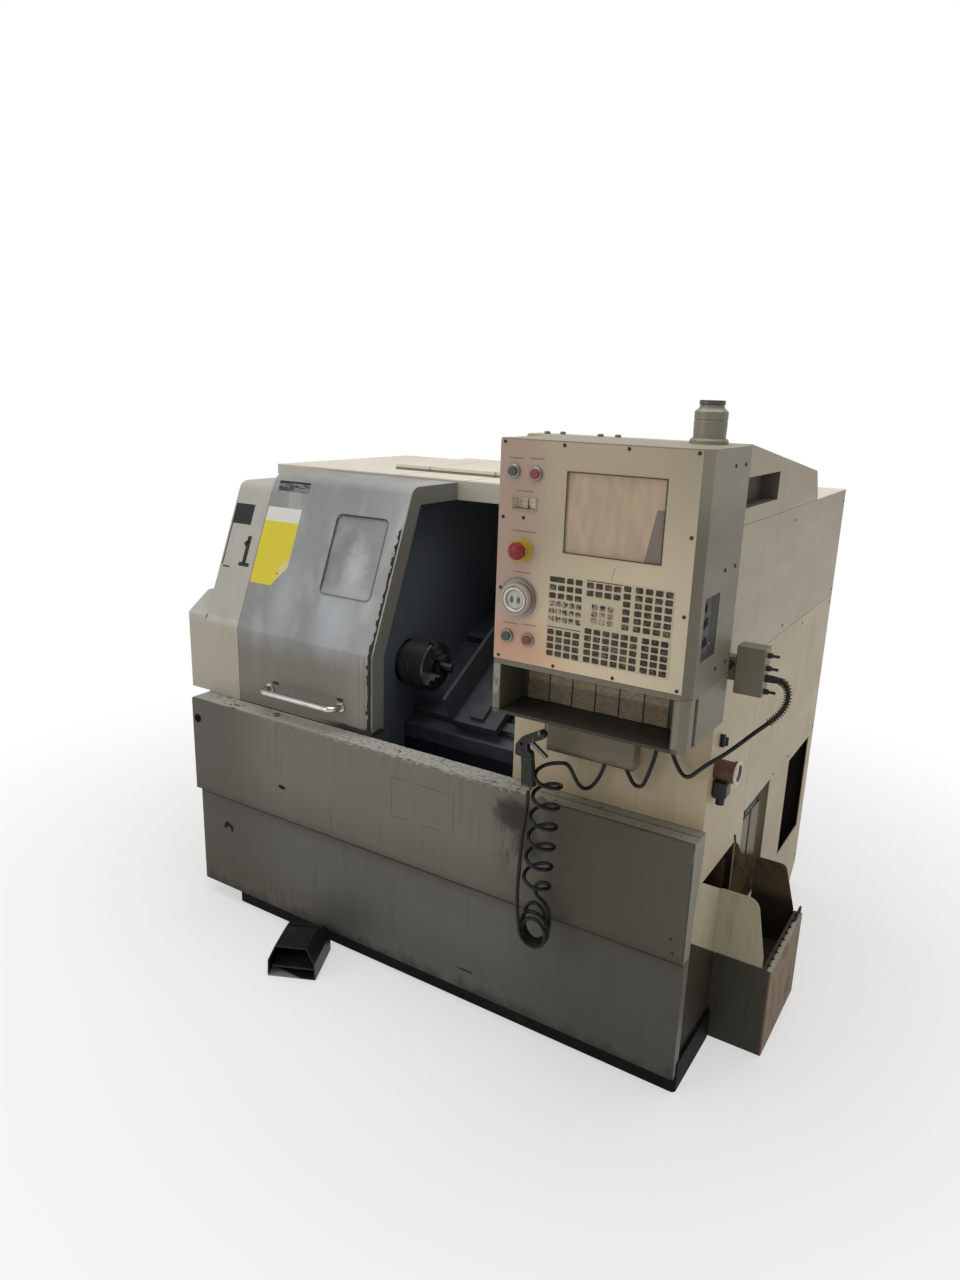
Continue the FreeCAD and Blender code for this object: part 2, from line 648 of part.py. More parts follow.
def tube_path(points, radius_at, radius):
    """Round bar along straight runs joined by tangent arcs."""
    edges = []
    start = V(*points[0])
    for i in range(1, len(points) - 1):
        here = V(*points[i])
        back = (V(*points[i - 1]) - here).normalize()
        ahead = (V(*points[i + 1]) - here).normalize()
        half = back.getAngle(ahead) / 2
        bend_radius = radius_at(i)
        reach = bend_radius / math.tan(half)
        middle = here + (back + ahead).normalize() * (bend_radius / math.sin(half)
                                                      - bend_radius)
        into = here + back * reach
        out = here + ahead * reach
        edges.append(Part.LineSegment(start, into).toShape())
        edges.append(Part.Arc(into, middle, out).toShape())
        start = out
    edges.append(Part.LineSegment(start, V(*points[-1])).toShape())
    path = Part.Wire(edges)
    first = (V(*points[1]) - V(*points[0])).normalize()
    ring = Part.Wire(Part.Circle(V(*points[0]), first, radius).toShape())
    return path.makePipeShell([ring], True, False), path


grip, _ = tube_path([(grip_left + grip_radius, ledge_depth, grip_z),
                     (grip_left + grip_radius, grip_y, grip_z),
                     (grip_right - grip_radius, grip_y, grip_z),
                     (grip_right - grip_radius, ledge_depth, grip_z)],
                    lambda i: bend, grip_radius)
roses = [rod(x, ledge_depth, grip_z, (0, -1, 0), 15, 4)
         for x in (grip_left + grip_radius, grip_right - grip_radius)]
save("door_handle", joined(grip, *roses))

# ---- headstock, spindle, belt drive and motor in the left compartment ------------------------
head_left = 250.0
head_right = 610.0
head_front = -105.0
head_rear = 150.0
head_crest = 100.0
housing = along_x([slant(head_front, -bed_drop), slant(head_rear, -bed_drop),
                   slant(head_rear, -40), slant(80, head_crest), slant(-60, head_crest),
                   slant(head_front, 40)], head_left, head_right)
spindle_radius = 46.0
housing = housing.cut(rod(head_left - 5, spindle_y, spindle_height, (1, 0, 0),
                          spindle_radius + shaft_gap, head_right - head_left + 10))
save("headstock", housing)

bar_bore = 22.0
pulley_left = 34.0
pulley_width = 44.0
spindle_pulley = 100.0
motor_pulley = 62.0
spindle_tail = -50.0
spindle_shoulder = 40.0
spindle_nose = 662.0
tail_radius = 34.0
nose_radius = 66.0
nose_left = head_right + 4


def on_spindle(x0, x1, radius):
    """Round bar on the spindle axis."""
    return rod(x0, spindle_y, spindle_height, (1, 0, 0), radius, x1 - x0)


spindle = joined(on_spindle(spindle_tail, spindle_shoulder + 10, tail_radius),
                 on_spindle(spindle_shoulder, spindle_nose, spindle_radius),
                 on_spindle(pulley_left, pulley_left + pulley_width, spindle_pulley),
                 on_spindle(nose_left, spindle_nose, nose_radius))
spindle = spindle.cut(on_spindle(spindle_tail - 10, spindle_nose + 10, bar_bore))
save("spindle", spindle)

motor_u = 330.0
motor_n = -70.0
motor_y, motor_z = slant(motor_u, motor_n)
motor_left = 110.0
motor_length = 300.0
motor_radius = 88.0
motor_flange = 95.0          # half width of its square front flange
flange_gauge = 14.0
motor_shaft = 19.0
shaft_depth = 58.0           # how far the shaft runs into the motor
foot_half = 60.0


def on_motor(x0, x1, radius):
    """Round bar on the motor's axis."""
    return rod(x0, motor_y, motor_z, (1, 0, 0), radius, x1 - x0)


motor_right = motor_left + motor_length
motor = on_motor(motor_left, motor_right, motor_radius)
motor = motor.fuse(block(motor_left, motor_left + flange_gauge, motor_y - motor_flange,
                         motor_y + motor_flange, motor_z - motor_flange,
                         motor_z + motor_flange))
motor = motor.cut(on_motor(motor_left - 1, motor_left + shaft_depth + running_gap,
                           motor_shaft + shaft_gap))
feet = along_x([slant(motor_u - foot_half, -bed_drop), slant(motor_u + foot_half, -bed_drop),
                slant(motor_u + foot_half, motor_n - 20),
                slant(motor_u - foot_half, motor_n - 20)], bed_left + 20, motor_right - 20)
motor = motor.fuse(feet.cut(on_motor(motor_left, motor_right, motor_radius - 2)))
save("spindle_motor", motor)
motor_wheel = on_motor(pulley_left, pulley_left + pulley_width, motor_pulley)
motor_wheel = motor_wheel.fuse(on_motor(pulley_left, motor_left + shaft_depth, motor_shaft))
save("motor_pulley", motor_wheel)

belt_gap = 0.4
belt_depth = 5.0
belt_width = 36.0


def belt_loop(extra):
    """Outline of the belt, extra outside both pulleys."""
    span = V(motor_y - spindle_y, motor_z - spindle_height, 0)
    big = spindle_pulley + belt_gap + extra
    small = motor_pulley + belt_gap + extra
    heading = math.atan2(span.y, span.x)
    wrap = math.acos((big - small) / span.Length)

    def rim(centre_y, centre_z, radius, angle):
        return V(pulley_left + 4, centre_y + radius * math.cos(angle),
                 centre_z + radius * math.sin(angle))

    upper = rim(spindle_y, spindle_height, big, heading + wrap)
    lower = rim(spindle_y, spindle_height, big, heading - wrap)
    far_up = rim(motor_y, motor_z, small, heading + wrap)
    far_low = rim(motor_y, motor_z, small, heading - wrap)
    edges = [Part.LineSegment(upper, far_up).toShape(),
             Part.Arc(far_up, rim(motor_y, motor_z, small, heading), far_low).toShape(),
             Part.LineSegment(far_low, lower).toShape(),
             Part.Arc(lower, rim(spindle_y, spindle_height, big, heading + math.pi),
                      upper).toShape()]
    return Part.Face(Part.Wire(edges)).extrude(V(belt_width, 0, 0))


save("drive_belt", belt_loop(belt_depth).cut(belt_loop(0)))

# ---- three-jaw chuck: body with stepped face and T slots, and its jaws ------------------------
chuck_radius = 82.5
chuck_back = spindle_nose
chuck_face = 752.0
slot_neck = 12.0
tee_depth = 9.0
tee_wide = 18.0
mouth_radius = 23.0          # wider bore at the chuck's face
mouth_depth = 30.0
groove_left = chuck_back + 34.0
groove_right = groove_left + 5.0
chuck = on_spindle(chuck_back, chuck_face, chuck_radius)
chuck = chuck.makeChamfer(3, [e for e in chuck.Edges if e.Closed])
chuck = chuck.cut(on_spindle(chuck_face - mouth_depth, chuck_face + 1, mouth_radius))
chuck = chuck.cut(on_spindle(chuck_back - 1, chuck_face, bar_bore))
groove = on_spindle(groove_left, groove_right, chuck_radius + 5)
chuck = chuck.cut(groove.cut(on_spindle(groove_left - 1, groove_right + 1, chuck_radius - 2)))
jaw_inner = 27.0
jaw_outer = 76.0


def spoke(piece, turn_deg):
    """Drawn along +Z from the axis, turned about the spindle axis."""
    moved = piece.copy()
    moved.rotate(V(0, 0, 0), V(1, 0, 0), turn_deg)
    moved.translate(V(0, spindle_y, spindle_height))
    return moved


def tee(grow, z0, z1):
    """T-shaped bar in the chuck's face; grow widens it to make the slot."""
    neck = block(chuck_face - 9, chuck_face + 1, -slot_neck / 2 - grow, slot_neck / 2 + grow,
                 z0, z1)
    foot = block(chuck_face - 9 - tee_depth - grow, chuck_face - 9 + grow,
                 -tee_wide / 2 - grow, tee_wide / 2 + grow, z0, z1)
    return neck.fuse(foot)


jaw_turns = (15.0, 135.0, 255.0)
for turn_deg in jaw_turns:
    chuck = chuck.cut(spoke(tee(seat_gap, 20, chuck_radius + 5), turn_deg))
save("chuck_body", chuck)

jaw_top = along_y([(chuck_face + seat_gap, jaw_inner), (chuck_face + 38, jaw_inner),
                   (chuck_face + 38, jaw_inner + 15), (chuck_face + 25, jaw_inner + 15),
                   (chuck_face + 25, jaw_inner + 30), (chuck_face + 13, jaw_inner + 30),
                   (chuck_face + 13, jaw_outer), (chuck_face + seat_gap, jaw_outer)],
                  -14, 14)
jaw_top = jaw_top.cut(along_x([(-15, jaw_inner - 1), (-4, jaw_inner - 1), (-15, jaw_inner + 8)],
                              chuck_face - 1, chuck_face + 40))
jaw_top = jaw_top.cut(along_x([(15, jaw_inner - 1), (4, jaw_inner - 1), (15, jaw_inner + 8)],
                              chuck_face - 1, chuck_face + 40))
jaw = joined(jaw_top, tee(0, jaw_inner + 4, jaw_outer - 2))
for number, turn_deg in enumerate(jaw_turns, 1):
    save("chuck_jaw_%d" % number, spoke(jaw, turn_deg))

# ---- saddle on the bed's ways, cross slide up the slope and the tool turret ----------------------
saddle_left = 842.0
saddle_right = 1000.0
saddle_low = -104.0
saddle_high = 420.0
saddle_top = -118.0
shoe_gap = 1.0
saddle_base = -bed_drop + way_height + shoe_gap
saddle = along_x([slant(saddle_low, saddle_base), slant(saddle_low, saddle_top),
                  slant(saddle_high, saddle_top), slant(saddle_high, saddle_base)],
                 saddle_left, saddle_right)
shoe_wall = 9.0
for way_u in (way_low, way_high):
    for side in (-1, 1):
        near = way_u + side * (way_width / 2 + seat_gap)
        far = near + side * shoe_wall
        saddle = saddle.fuse(along_x([slant(near, -bed_drop + 18), slant(far, -bed_drop + 6),
                                      slant(far, saddle_base), slant(near, saddle_base)],
                                     saddle_left + 10, saddle_right - 10))
guard_gauge = 12.0
guard_top = -22.0
guard_back = 330.0
guard = along_x([slant(saddle_low, saddle_base), slant(saddle_low, guard_top),
                 slant(guard_back - 30, guard_top), slant(guard_back, saddle_top),
                 slant(guard_back, saddle_base)], saddle_left - guard_gauge, saddle_left)
rib_half = 24.0
rib_height = 14.0
rib_top = saddle_top + rib_height
mid_x = (saddle_left + saddle_right) / 2
cross_way = along_x([slant(saddle_low + 20, saddle_top), slant(saddle_low + 20, rib_top),
                     slant(saddle_high - 4, rib_top), slant(saddle_high - 4, saddle_top)],
                    mid_x - rib_half, mid_x + rib_half)
save("saddle", joined(saddle, guard, cross_way))

slide_low = 215.0
slide_high = 520.0
slide_base = saddle_top + seat_gap
slide_top = -84.0
turret_u = 395.0
disc_left = 858.0
disc_width = 46.0
disc_radius = 104.0
stations = 8
tool_out = 18.0              # how far a tool stands out of the disc's flat
housing_left = disc_left + disc_width + 1.0
cross = along_x([slant(slide_low, slide_base), slant(slide_low, slide_top - 8),
                 slant(slide_low + 40, slide_top), slant(slide_high, slide_top),
                 slant(slide_high, slide_base)], saddle_left + 4, saddle_right - 4)
groove_top = rib_top + seat_gap
cross = cross.cut(along_x([slant(slide_low - 5, slide_base - 5), slant(slide_low - 5, groove_top),
                           slant(slide_high + 5, groove_top),
                           slant(slide_high + 5, slide_base - 5)],
                          mid_x - rib_half - seat_gap, mid_x + rib_half + seat_gap))
turret_y, turret_z = slant(turret_u, 0)
turret_bore = 30.0
stub_length = 55.0           # the disc's stub inside the turret housing


def on_turret(x0, x1, radius):
    """Round bar on the turret's axis."""
    return rod(x0, turret_y, turret_z, (1, 0, 0), radius, x1 - x0)


crown = 74.0                 # half size of the turret housing across the slide
body = along_x([slant(turret_u - crown, slide_top), slant(turret_u - crown, crown - 24),
                slant(turret_u - crown + 24, crown), slant(turret_u + crown - 14, crown),
                slant(turret_u + crown + 26, 30), slant(turret_u + crown + 26, slide_top)],
               housing_left, saddle_right - 4)
disc_right = disc_left + disc_width
body = body.cut(on_turret(housing_left - 1, disc_right + stub_length + 5,
                          turret_bore + shaft_gap))
cross = joined(cross, body)
flat = disc_radius * math.cos(math.pi / stations)
tool_reach = flat + tool_out
cross = cross.cut(on_turret(disc_left - 3, housing_left - 0.5, tool_reach + 4))
save("cross_slide", cross)

rim = [(turret_y + disc_radius * math.cos(math.pi * (2 * k + 1) / stations),
        turret_z + disc_radius * math.sin(math.pi * (2 * k + 1) / stations))
       for k in range(stations)]
disc = along_x(rim, disc_left, disc_right)
disc = disc.fuse(on_turret(disc_left, disc_right + stub_length, turret_bore))
pocket = 20.0
tool_size = 16.0
for k in range(stations):
    angle = 360.0 * k / stations
    seat = block(disc_left - 1, disc_left + 17, -pocket / 2, pocket / 2, flat - 34, flat + 2)
    tool = block(disc_left, disc_left + 16, -tool_size / 2, tool_size / 2, flat - 34,
                 flat + (tool_out if k % 2 == 0 else 4))
    wedge_bar = block(disc_left, disc_left + 16, tool_size / 2, pocket / 2, flat - 34, flat - 4)
    for piece, add in ((seat, False), (tool, True), (wedge_bar, True)):
        placed = piece.copy()
        placed.rotate(V(0, 0, 0), V(1, 0, 0), angle)
        placed.translate(V(0, turret_y, turret_z))
        disc = disc.fuse(placed) if add else disc.cut(placed)
save("turret", disc.removeSplitter())

# ---- right side fittings: air manifold, power inlet and the column behind the slot -----------
manifold_y = 114.0           # middle of the box, and the line of its fittings
manifold_half = 24.0
manifold_left = right_face + 31.0
manifold_right = manifold_left + 66.0
manifold_low = tray_low + 71.0
manifold_high = manifold_low + 114.0
manifold = (manifold_left, manifold_right, manifold_y - manifold_half,
            manifold_y + manifold_half, manifold_low, manifold_high)
box_shape = block(*manifold)
box_shape = box_shape.makeChamfer(2, [e for e in box_shape.Edges if e.Length > 100])
wall_pad = block(right_face, manifold_left, manifold_y - 12, manifold_y + 18,
                 manifold_low + 26, manifold_high - 32)
save("air_manifold", joined(box_shape, wall_pad))

gland_y = manifold_y
gland_z = manifold_low + 42.0
gland_radius = 9.0
gland_length = 14.0
hose_radius = 5.0
nut_radius = 6.5
nut_length = 10.0
barb_radius = 3.5
barb_length = 16.0
fitting_run = []
for fit_z in (manifold_low + 97, manifold_low + 66, manifold_low + 10):
    nut = rod(manifold_right, gland_y, fit_z, (1, 0, 0), nut_radius, nut_length)
    fitting_run.append(nut.fuse(rod(manifold_right + nut_length, gland_y, fit_z, (1, 0, 0),
                                    barb_radius, barb_length)))
elbow_x = right_face + 16.0
elbow_z = manifold_low + 64.0
elbow_radius = 9.0
elbow_reach = 36.0
elbow = rod(elbow_x, gland_y - elbow_reach, elbow_z, (0, 1, 0), elbow_radius,
            elbow_reach + 10)
elbow = elbow.fuse(rod(elbow_x, gland_y, elbow_z, (1, 0, 0), elbow_radius - 3,
                       manifold_left - elbow_x))
elbow = elbow.cut(block(*manifold)).cut(wall_pad)
gland = rod(manifold_right, gland_y, gland_z, (1, 0, 0), gland_radius, gland_length)

inlet_y = 134.0
inlet_z = 880.0
inlet_radius = 25.0
inlet_length = 51.0
inlet_wall = 5.0
inlet = rod(right_face, inlet_y, inlet_z, (1, 0, 0), inlet_radius, inlet_length - 4)
inlet = inlet.fuse(rod(right_face + inlet_length - 7, inlet_y, inlet_z, (1, 0, 0),
                       inlet_radius + 3, 7))
inlet = inlet.cut(rod(right_face + 20, inlet_y, inlet_z, (1, 0, 0),
                      inlet_radius - inlet_wall, inlet_length))
save("power_inlet", inlet)
block_size = 42.0
block_depth = 36.0
block_top = inlet_z - inlet_radius - 3.0
cable_radius = 11.0
plug_block = block(right_face, right_face + block_depth, inlet_y - block_size / 2,
                   inlet_y + block_size / 2, block_top - block_size, block_top)
plug_block = plug_block.makeChamfer(5, [e for e in plug_block.Edges
                                        if e.Length > block_size - 1])
plug_block = plug_block.fuse(rod(right_face + block_depth / 2, inlet_y,
                                 block_top - block_size + 1, (0, 0, -1), cable_radius, 22))
save("side_fittings", Part.makeCompound(fitting_run + [elbow, gland, plug_block]))

column_right = right_face - 16.0
column_left = column_right - 45.0
column_front = 515.0
column_back = 700.0
column_top = 572.0
column_groove = (590.0, 612.0, 19.0)         # y, y and depth of its upright groove
column_cap = 28.0
groove_x = column_right - column_groove[2]
column = along_z([(column_left, column_front), (column_right, column_front),
                  (column_right, column_groove[0]), (groove_x, column_groove[0]),
                  (groove_x, column_groove[1]), (column_right, column_groove[1]),
                  (column_right, column_back), (column_left, column_back)],
                 plinth_height, column_top)
column = column.fuse(block(column_left + 8, column_right - 3, column_front + 33,
                           column_back - 32, column_top, column_top + column_cap))
save("slot_column", column.fuse(rod(column_right - 20, column_back - 60,
                                    column_top + column_cap, (0, 0, 1), 20, 24)))

# ---- chip bin: open tank with a perforated top flange, and the folded chute above it ---------
tank_left = right_face + 3
tank_right = tank_left + 158.0
tank_front = 298.0
tank_back = 645.0
tank_top = 268.0
flange_width = 24.0
hole_radius = 6.0
tank = block(tank_left, tank_right, tank_front, tank_back, 0, tank_top)
tank = tank.cut(block(tank_left + sheet, tank_right - sheet, tank_front + sheet,
                      tank_back - sheet, sheet, tank_top + 5))
flange = block(tank_right - flange_width, tank_right, tank_front, tank_back, tank_top,
               tank_top + sheet)
hole_count = 9
hole_margin = 24.0
hole_pitch = (tank_back - tank_front - 2 * hole_margin) / (hole_count - 1)
for k in range(hole_count):
    hole_y = tank_front + hole_margin + k * hole_pitch
    flange = flange.cut(rod(tank_right - flange_width / 2 - 1, hole_y, tank_top - 1,
                            (0, 0, 1), hole_radius, 2 * sheet))
save("chip_tank", joined(tank, flange))

guard_front = tank_front + sheet + 0.5
chute_back_y = tank_back - sheet - 0.5
chute_right = tank_right - flange_width - 2
chute_left = tank_left + sheet + 0.5
chute_low = 150.0
chute_front_top = 467.0
chute_back_top = 414.0
front_plate = along_y([(chute_left, chute_low), (chute_right, chute_low),
                       (chute_right, tank_top + 32), (chute_right - 30, chute_front_top, 34),
                       (chute_left, chute_front_top)], guard_front, guard_front + sheet)
back_plate = along_y([(chute_left, chute_low), (chute_right, chute_low),
                      (chute_right, tank_top + 9), (chute_right - 37, chute_back_top, 20),
                      (chute_left, chute_back_top)], chute_back_y - sheet, chute_back_y)
chute_floor = block(chute_left, chute_right, guard_front, chute_back_y, chute_low,
                    chute_low + sheet)
save("chip_chute", joined(front_plate, back_plate, chute_floor))

# ---- air gun hanging by its eye from a wire hook under the tray ---------------------------------
gun_y = -60.0
gun_half = 9.0
hook_radius = 3.0
hang_gap = 0.4
eye_x, eye_z = plate_left + 70.0, tray_low - 84.0
hook_back = gun_y + 2 * gun_half
hook_front = gun_y - gun_half - 7
hook, _ = tube_path([(eye_x, hook_back, tray_low + 4), (eye_x, hook_back, eye_z),
                     (eye_x, hook_front, eye_z), (eye_x, hook_front, eye_z + 14)],
                    lambda i: 8, hook_radius)
save("control_tray", tray.fuse(hook))

# outline of the gun, measured right and up from its hanging eye
gun_outline = [(-48, -146, 2), (-13, -146, 2), (-24, -55, 4), (-36, -49, 4), (-36, -32, 4),
               (9, -9, 6), (13, 5, 6), (-1, 12, 6), (-53, -17, 12), (-69, -39, 10),
               (-69, -67, 5), (-51, -69, 4)]
handle_x = eye_x - 31.0
handle_foot = eye_z + gun_outline[0][1]
gun = along_y([(eye_x + right, eye_z + up, round_off) for right, up, round_off in gun_outline],
              gun_y - gun_half, gun_y + gun_half)
gun = gun.cut(rod(eye_x, gun_y - 20, eye_z, (0, 1, 0), hook_radius + hang_gap, 40))
gun = gun.cut(rod(eye_x - 52, gun_y - 20, eye_z - 35, (0, 1, 0), 4.5, 40))
lever_x, lever_z = handle_x, eye_z - 26.0
lever_half = 5.0
lever_length = 58.0
lever_lean = 34.0
lever_pin = 2.0
gun = gun.cut(block(lever_x - 9, lever_x + 12, gun_y - lever_half - 0.6,
                    gun_y + lever_half + 0.6, lever_z - 20, lever_z + 9))
pin = rod(lever_x, gun_y - gun_half, lever_z, (0, 1, 0), lever_pin, 2 * gun_half)
save("air_gun", gun.fuse(pin))
lever = along_y([(-4.5, -4.5, 4), (lever_length, -4, 3), (lever_length, 4, 3), (-4.5, 4.5, 4)],
                gun_y - lever_half, gun_y + lever_half)
lever = lever.cut(rod(0, gun_y - 20, 0, (0, 1, 0), lever_pin + shaft_gap, 40))
lever.rotate(V(0, 0, 0), V(0, 1, 0), lever_lean)
lever.translate(V(lever_x, 0, lever_z))
save("gun_lever", lever)

# ---- air hose: free run, hanging curls with the gathered loops, and the tail to the gun ---------
curl_x = plate_left + 97.0
curl_y = gun_y
curl_radius = 35.0
curl_top = tray_low - 155.0
curl_pitch = 57.3            # fall of each curl
curl_drift = -3.5            # sideways step of each curl
curl_sag = 3.0               # how much lower a curl's front is than its back
curl_first = 0.25            # the curls start and end at the back of a turn
curl_count = 6
hank_x = plate_left + 71.0
hank_z = tray_low - 608.0
hank_half_width = 39.0
hank_half_height = 62.0
hank_back = -42.0
hank_loops = 4
hank_pitch = 11.4
hank_drift = 4.0             # sideways step of each loop
hank_cross = 9.0             # how far the loops' tops lean to either side in turn
hank_tuck = 22.0             # how much shorter than the first the last loops are


def curl_point(turns):
    angle = 2 * math.pi * turns
    return V(curl_x + curl_drift * turns + curl_radius * math.cos(angle),
             curl_y + curl_radius * math.sin(angle),
             curl_top - curl_pitch * turns + curl_sag * math.sin(angle))


def curl_heading(turns):
    angle = 2 * math.pi * turns
    return V(curl_drift / (2 * math.pi) - curl_radius * math.sin(angle),
             curl_radius * math.cos(angle),
             curl_sag * math.cos(angle) - curl_pitch / (2 * math.pi)).normalize()


def hank_point(turns):
    angle = 2 * math.pi * turns
    share = min(turns / (hank_loops - 1), 1)
    tuck = hank_tuck * share * share * (3 - 2 * share)
    top_lean = hank_cross * math.sin(math.pi * turns) * (1 + math.cos(angle)) / 2
    return V(hank_x + hank_drift * turns + hank_half_width * math.sin(angle) + top_lean,
             hank_back - hank_pitch * turns,
             hank_z - tuck + (hank_half_height - tuck) * math.cos(angle))


def hank_heading(turns):
    step = 0.001
    return (hank_point(turns + step) - hank_point(turns - step)).normalize()


def biarc(p0, t0, p1, t1):
    """Two arcs from p0 heading t0 to p1 heading t1."""
    span = p1 - p0
    both = t0 + t1
    twist = 2 * (1 - t0.dot(t1))
    along = span.dot(both)
    if twist < 1e-9:
        reach = span.Length ** 2 / (2 * along)
    else:
        reach = (-along + math.sqrt(along ** 2 + twist * span.Length ** 2)) / twist
    q0 = p0 + t0 * reach
    q1 = p1 - t1 * reach
    meet = (q0 + q1) * 0.5
    return [bow(p0, q0, meet), bow(meet, q1, p1)]


def bow(start, corner, stop):
    """Arc that touches start-corner and corner-stop, whose two legs are equal."""
    leg = (corner - start).Length
    mid = (start + stop) * 0.5
    lift = corner - mid
    if lift.Length < 1e-7:
        return Part.LineSegment(start, stop).toShape()
    half_turn = math.atan2(lift.Length, (stop - start).Length / 2)
    radius = leg / math.tan(half_turn) if half_turn > 1e-9 else 0
    top = corner - lift.normalize() * (radius / math.cos(half_turn) - radius)
    return Part.Arc(start, top, stop).toShape()


def sampled(edges, step):
    """Points every step along the edges, in order."""
    spots = []
    for edge in edges:
        count = max(2, int(edge.Length / step))
        spots += edge.discretize(count)[:-1]
    return spots


def own_gap(spots, radius, skip):
    """Least free gap between stretches of one tube that are skip or more apart."""
    least = 1e9
    for i in range(len(spots)):
        for j in range(i + skip, len(spots)):
            least = min(least, (spots[i] - spots[j]).Length - 2 * radius)
    return least


hose_diameter = 2 * hose_radius
stops = []
for quarter in range(4 * curl_count + 1):
    turns = curl_first + quarter / 4.0
    stops.append((curl_point(turns), curl_heading(turns)))
last_curl = stops[-1][0]
stops.append((V(last_curl.x - 19, last_curl.y - 7, last_curl.z - 18),
              V(0, -0.25, -1).normalize()))
for quarter in range(4 * hank_loops):
    stops.append((hank_point(quarter / 4.0), hank_heading(quarter / 4.0)))
last_loop = stops[-1][0]
tail_low = last_loop + V(-6, -2, 56)
tail_way = V(-0.06, 0.02, 1).normalize()
stops.append((tail_low, tail_way))
coil_start, lead = stops[0]
coil_inlet = coil_start - lead * hose_diameter
coil_edges = [Part.LineSegment(coil_inlet, coil_start).toShape()]
for (p0, t0), (p1, t1) in zip(stops, stops[1:]):
    coil_edges += biarc(p0, t0, p1, t1)
tail_base = tail_low + tail_way * hose_diameter
coil_edges.append(Part.LineSegment(tail_low, tail_base).toShape())
coil_path = Part.Wire(coil_edges)
coil_ring = Part.Wire(Part.Circle(coil_inlet, lead, hose_radius).toShape())
coil = coil_path.makePipeShell([coil_ring], True, False)
print("coil valid", coil.isValid(), "volume ratio",
      coil.Volume / (math.pi * hose_radius ** 2 * coil_path.Length))
print("coil length", coil_path.Length, "least gap to itself",
      own_gap(sampled(coil_edges, 3.0), hose_radius, 8))
save("air_hose_coil", coil)


def bend_radii(points):
    """0.45 of the shorter run at each point, over the tangent of half the turn."""
    radii = {}
    for i in range(1, len(points) - 1):
        before = V(*points[i]) - V(*points[i - 1])
        after = V(*points[i + 1]) - V(*points[i])
        turn = before.getAngle(after)
        radii[i] = 0.45 * min(before.Length, after.Length) / math.tan(turn / 2)
    return radii


# the free run, measured from the side wall's face, the apron's face and the tray's underside;
# below the tray it keeps its share of the height down to the ledge
drawn_drop = 291.0
hang = (tray_low - apron_top) / drawn_drop
hanging_run = [
    (152, 107, 107), (162, 101, 87), (159, 94, 63), (145, 86, 40), (121, 77, 16),
    (96, 68, -9), (73, 61, -35), (49, 56, -61), (25, 52, -84), (0, 50, -106),
    (-21, 50, -129), (-39, 50, -149), (-55, 50, -147), (-70, 50, -127), (-83, 50, -103),
    (-90, 50, -79), (-92, 50, -57), (-94, 50, -38), (-100, 50, -24), (-115, 50, -24),
    (-122, 50, -38), (-123, 50, -59), (-124, 50, -83), (-127, 50, -109),
    (-132, 50, -135), (-139, 50, -159), (-146, 50, -182), (-153, 50, -201),
    (-165, 50, -207), (-178, 50, -203), (-190, 50, -185), (-202, 50, -163),
    (-214, 50, -143), (-226, 50, -132), (-239, 50, -131), (-249, 50, -142),
    (-257, 50, -164), (-263, 49, -189), (-272, 46, -213), (-284, 38, -234),
    (-297, 26, -241), (-306, 12, -229), (-312, -2, -208), (-317, -12, -185),
    (-324, -19, -168),
]
hose_route = [(manifold_right + gland_length, gland_y, gland_z),
              (manifold_right + gland_length + 20, gland_y, gland_z)]
for right, back, up in hanging_run:
    hose_route.append((right_face + right, back, tray_low + up * (hang if up < 0 else 1)))
hose_route += [tuple(coil_inlet - lead * 16), tuple(coil_inlet)]
radii = bend_radii(hose_route)
print("hose run radii", [round(radii[i], 1) for i in sorted(radii)])
hose, hose_path = tube_path(hose_route, lambda i: radii[i], hose_radius)
print("hose run valid", hose.isValid(), "length", hose_path.Length, "volume ratio",
      hose.Volume / (math.pi * hose_radius ** 2 * hose_path.Length))
save("air_hose_run", hose)

rising_run = [(-420, -84, -499), (-419, -80, -451), (-421, -75, -403),
              (-420, -69, -356), (-417, -63, -311)]
tail_route = [tuple(tail_base), tuple(tail_base + tail_way * 28)]
tail_route += [(right_face + right, back, tray_low + up) for right, back, up in rising_run]
tail_route += [(handle_x, gun_y, handle_foot - 39), (handle_x, gun_y, handle_foot)]
radii = bend_radii(tail_route)
print("tail radii", [round(radii[i], 1) for i in sorted(radii)])
tail, tail_path = tube_path(tail_route, lambda i: radii[i], hose_radius)
print("tail valid", tail.isValid(), "length", tail_path.Length, "volume ratio",
      tail.Volume / (math.pi * hose_radius ** 2 * tail_path.Length))
save("air_hose_tail", tail)

# ---- foot pedal on the floor: hooded housing with a sprung treadle inside ------------------------
pedal_x, pedal_y = 543.0, -219.0
pedal_turn = 25.2
pedal_width = 152.0
pedal_depth = 165.0
pedal_height = 108.0
pedal_wall = 4.0


def pedal_place(shape):
    """From the pedal's own frame, front left corner at 0, to its place on the floor."""
    moved = shape.copy()
    moved.rotate(V(0, 0, 0), V(0, 0, 1), pedal_turn)
    moved.translate(V(pedal_x, pedal_y, 0))
    return moved


def hood_outline(wall):
    return [(wall, 0), (wall + 2, 55), (26 + wall * 0.6, pedal_height - wall),
            (pedal_width - 26 - wall * 0.6, pedal_height - wall),
            (pedal_width - wall - 2, 55), (pedal_width - wall, 0)]


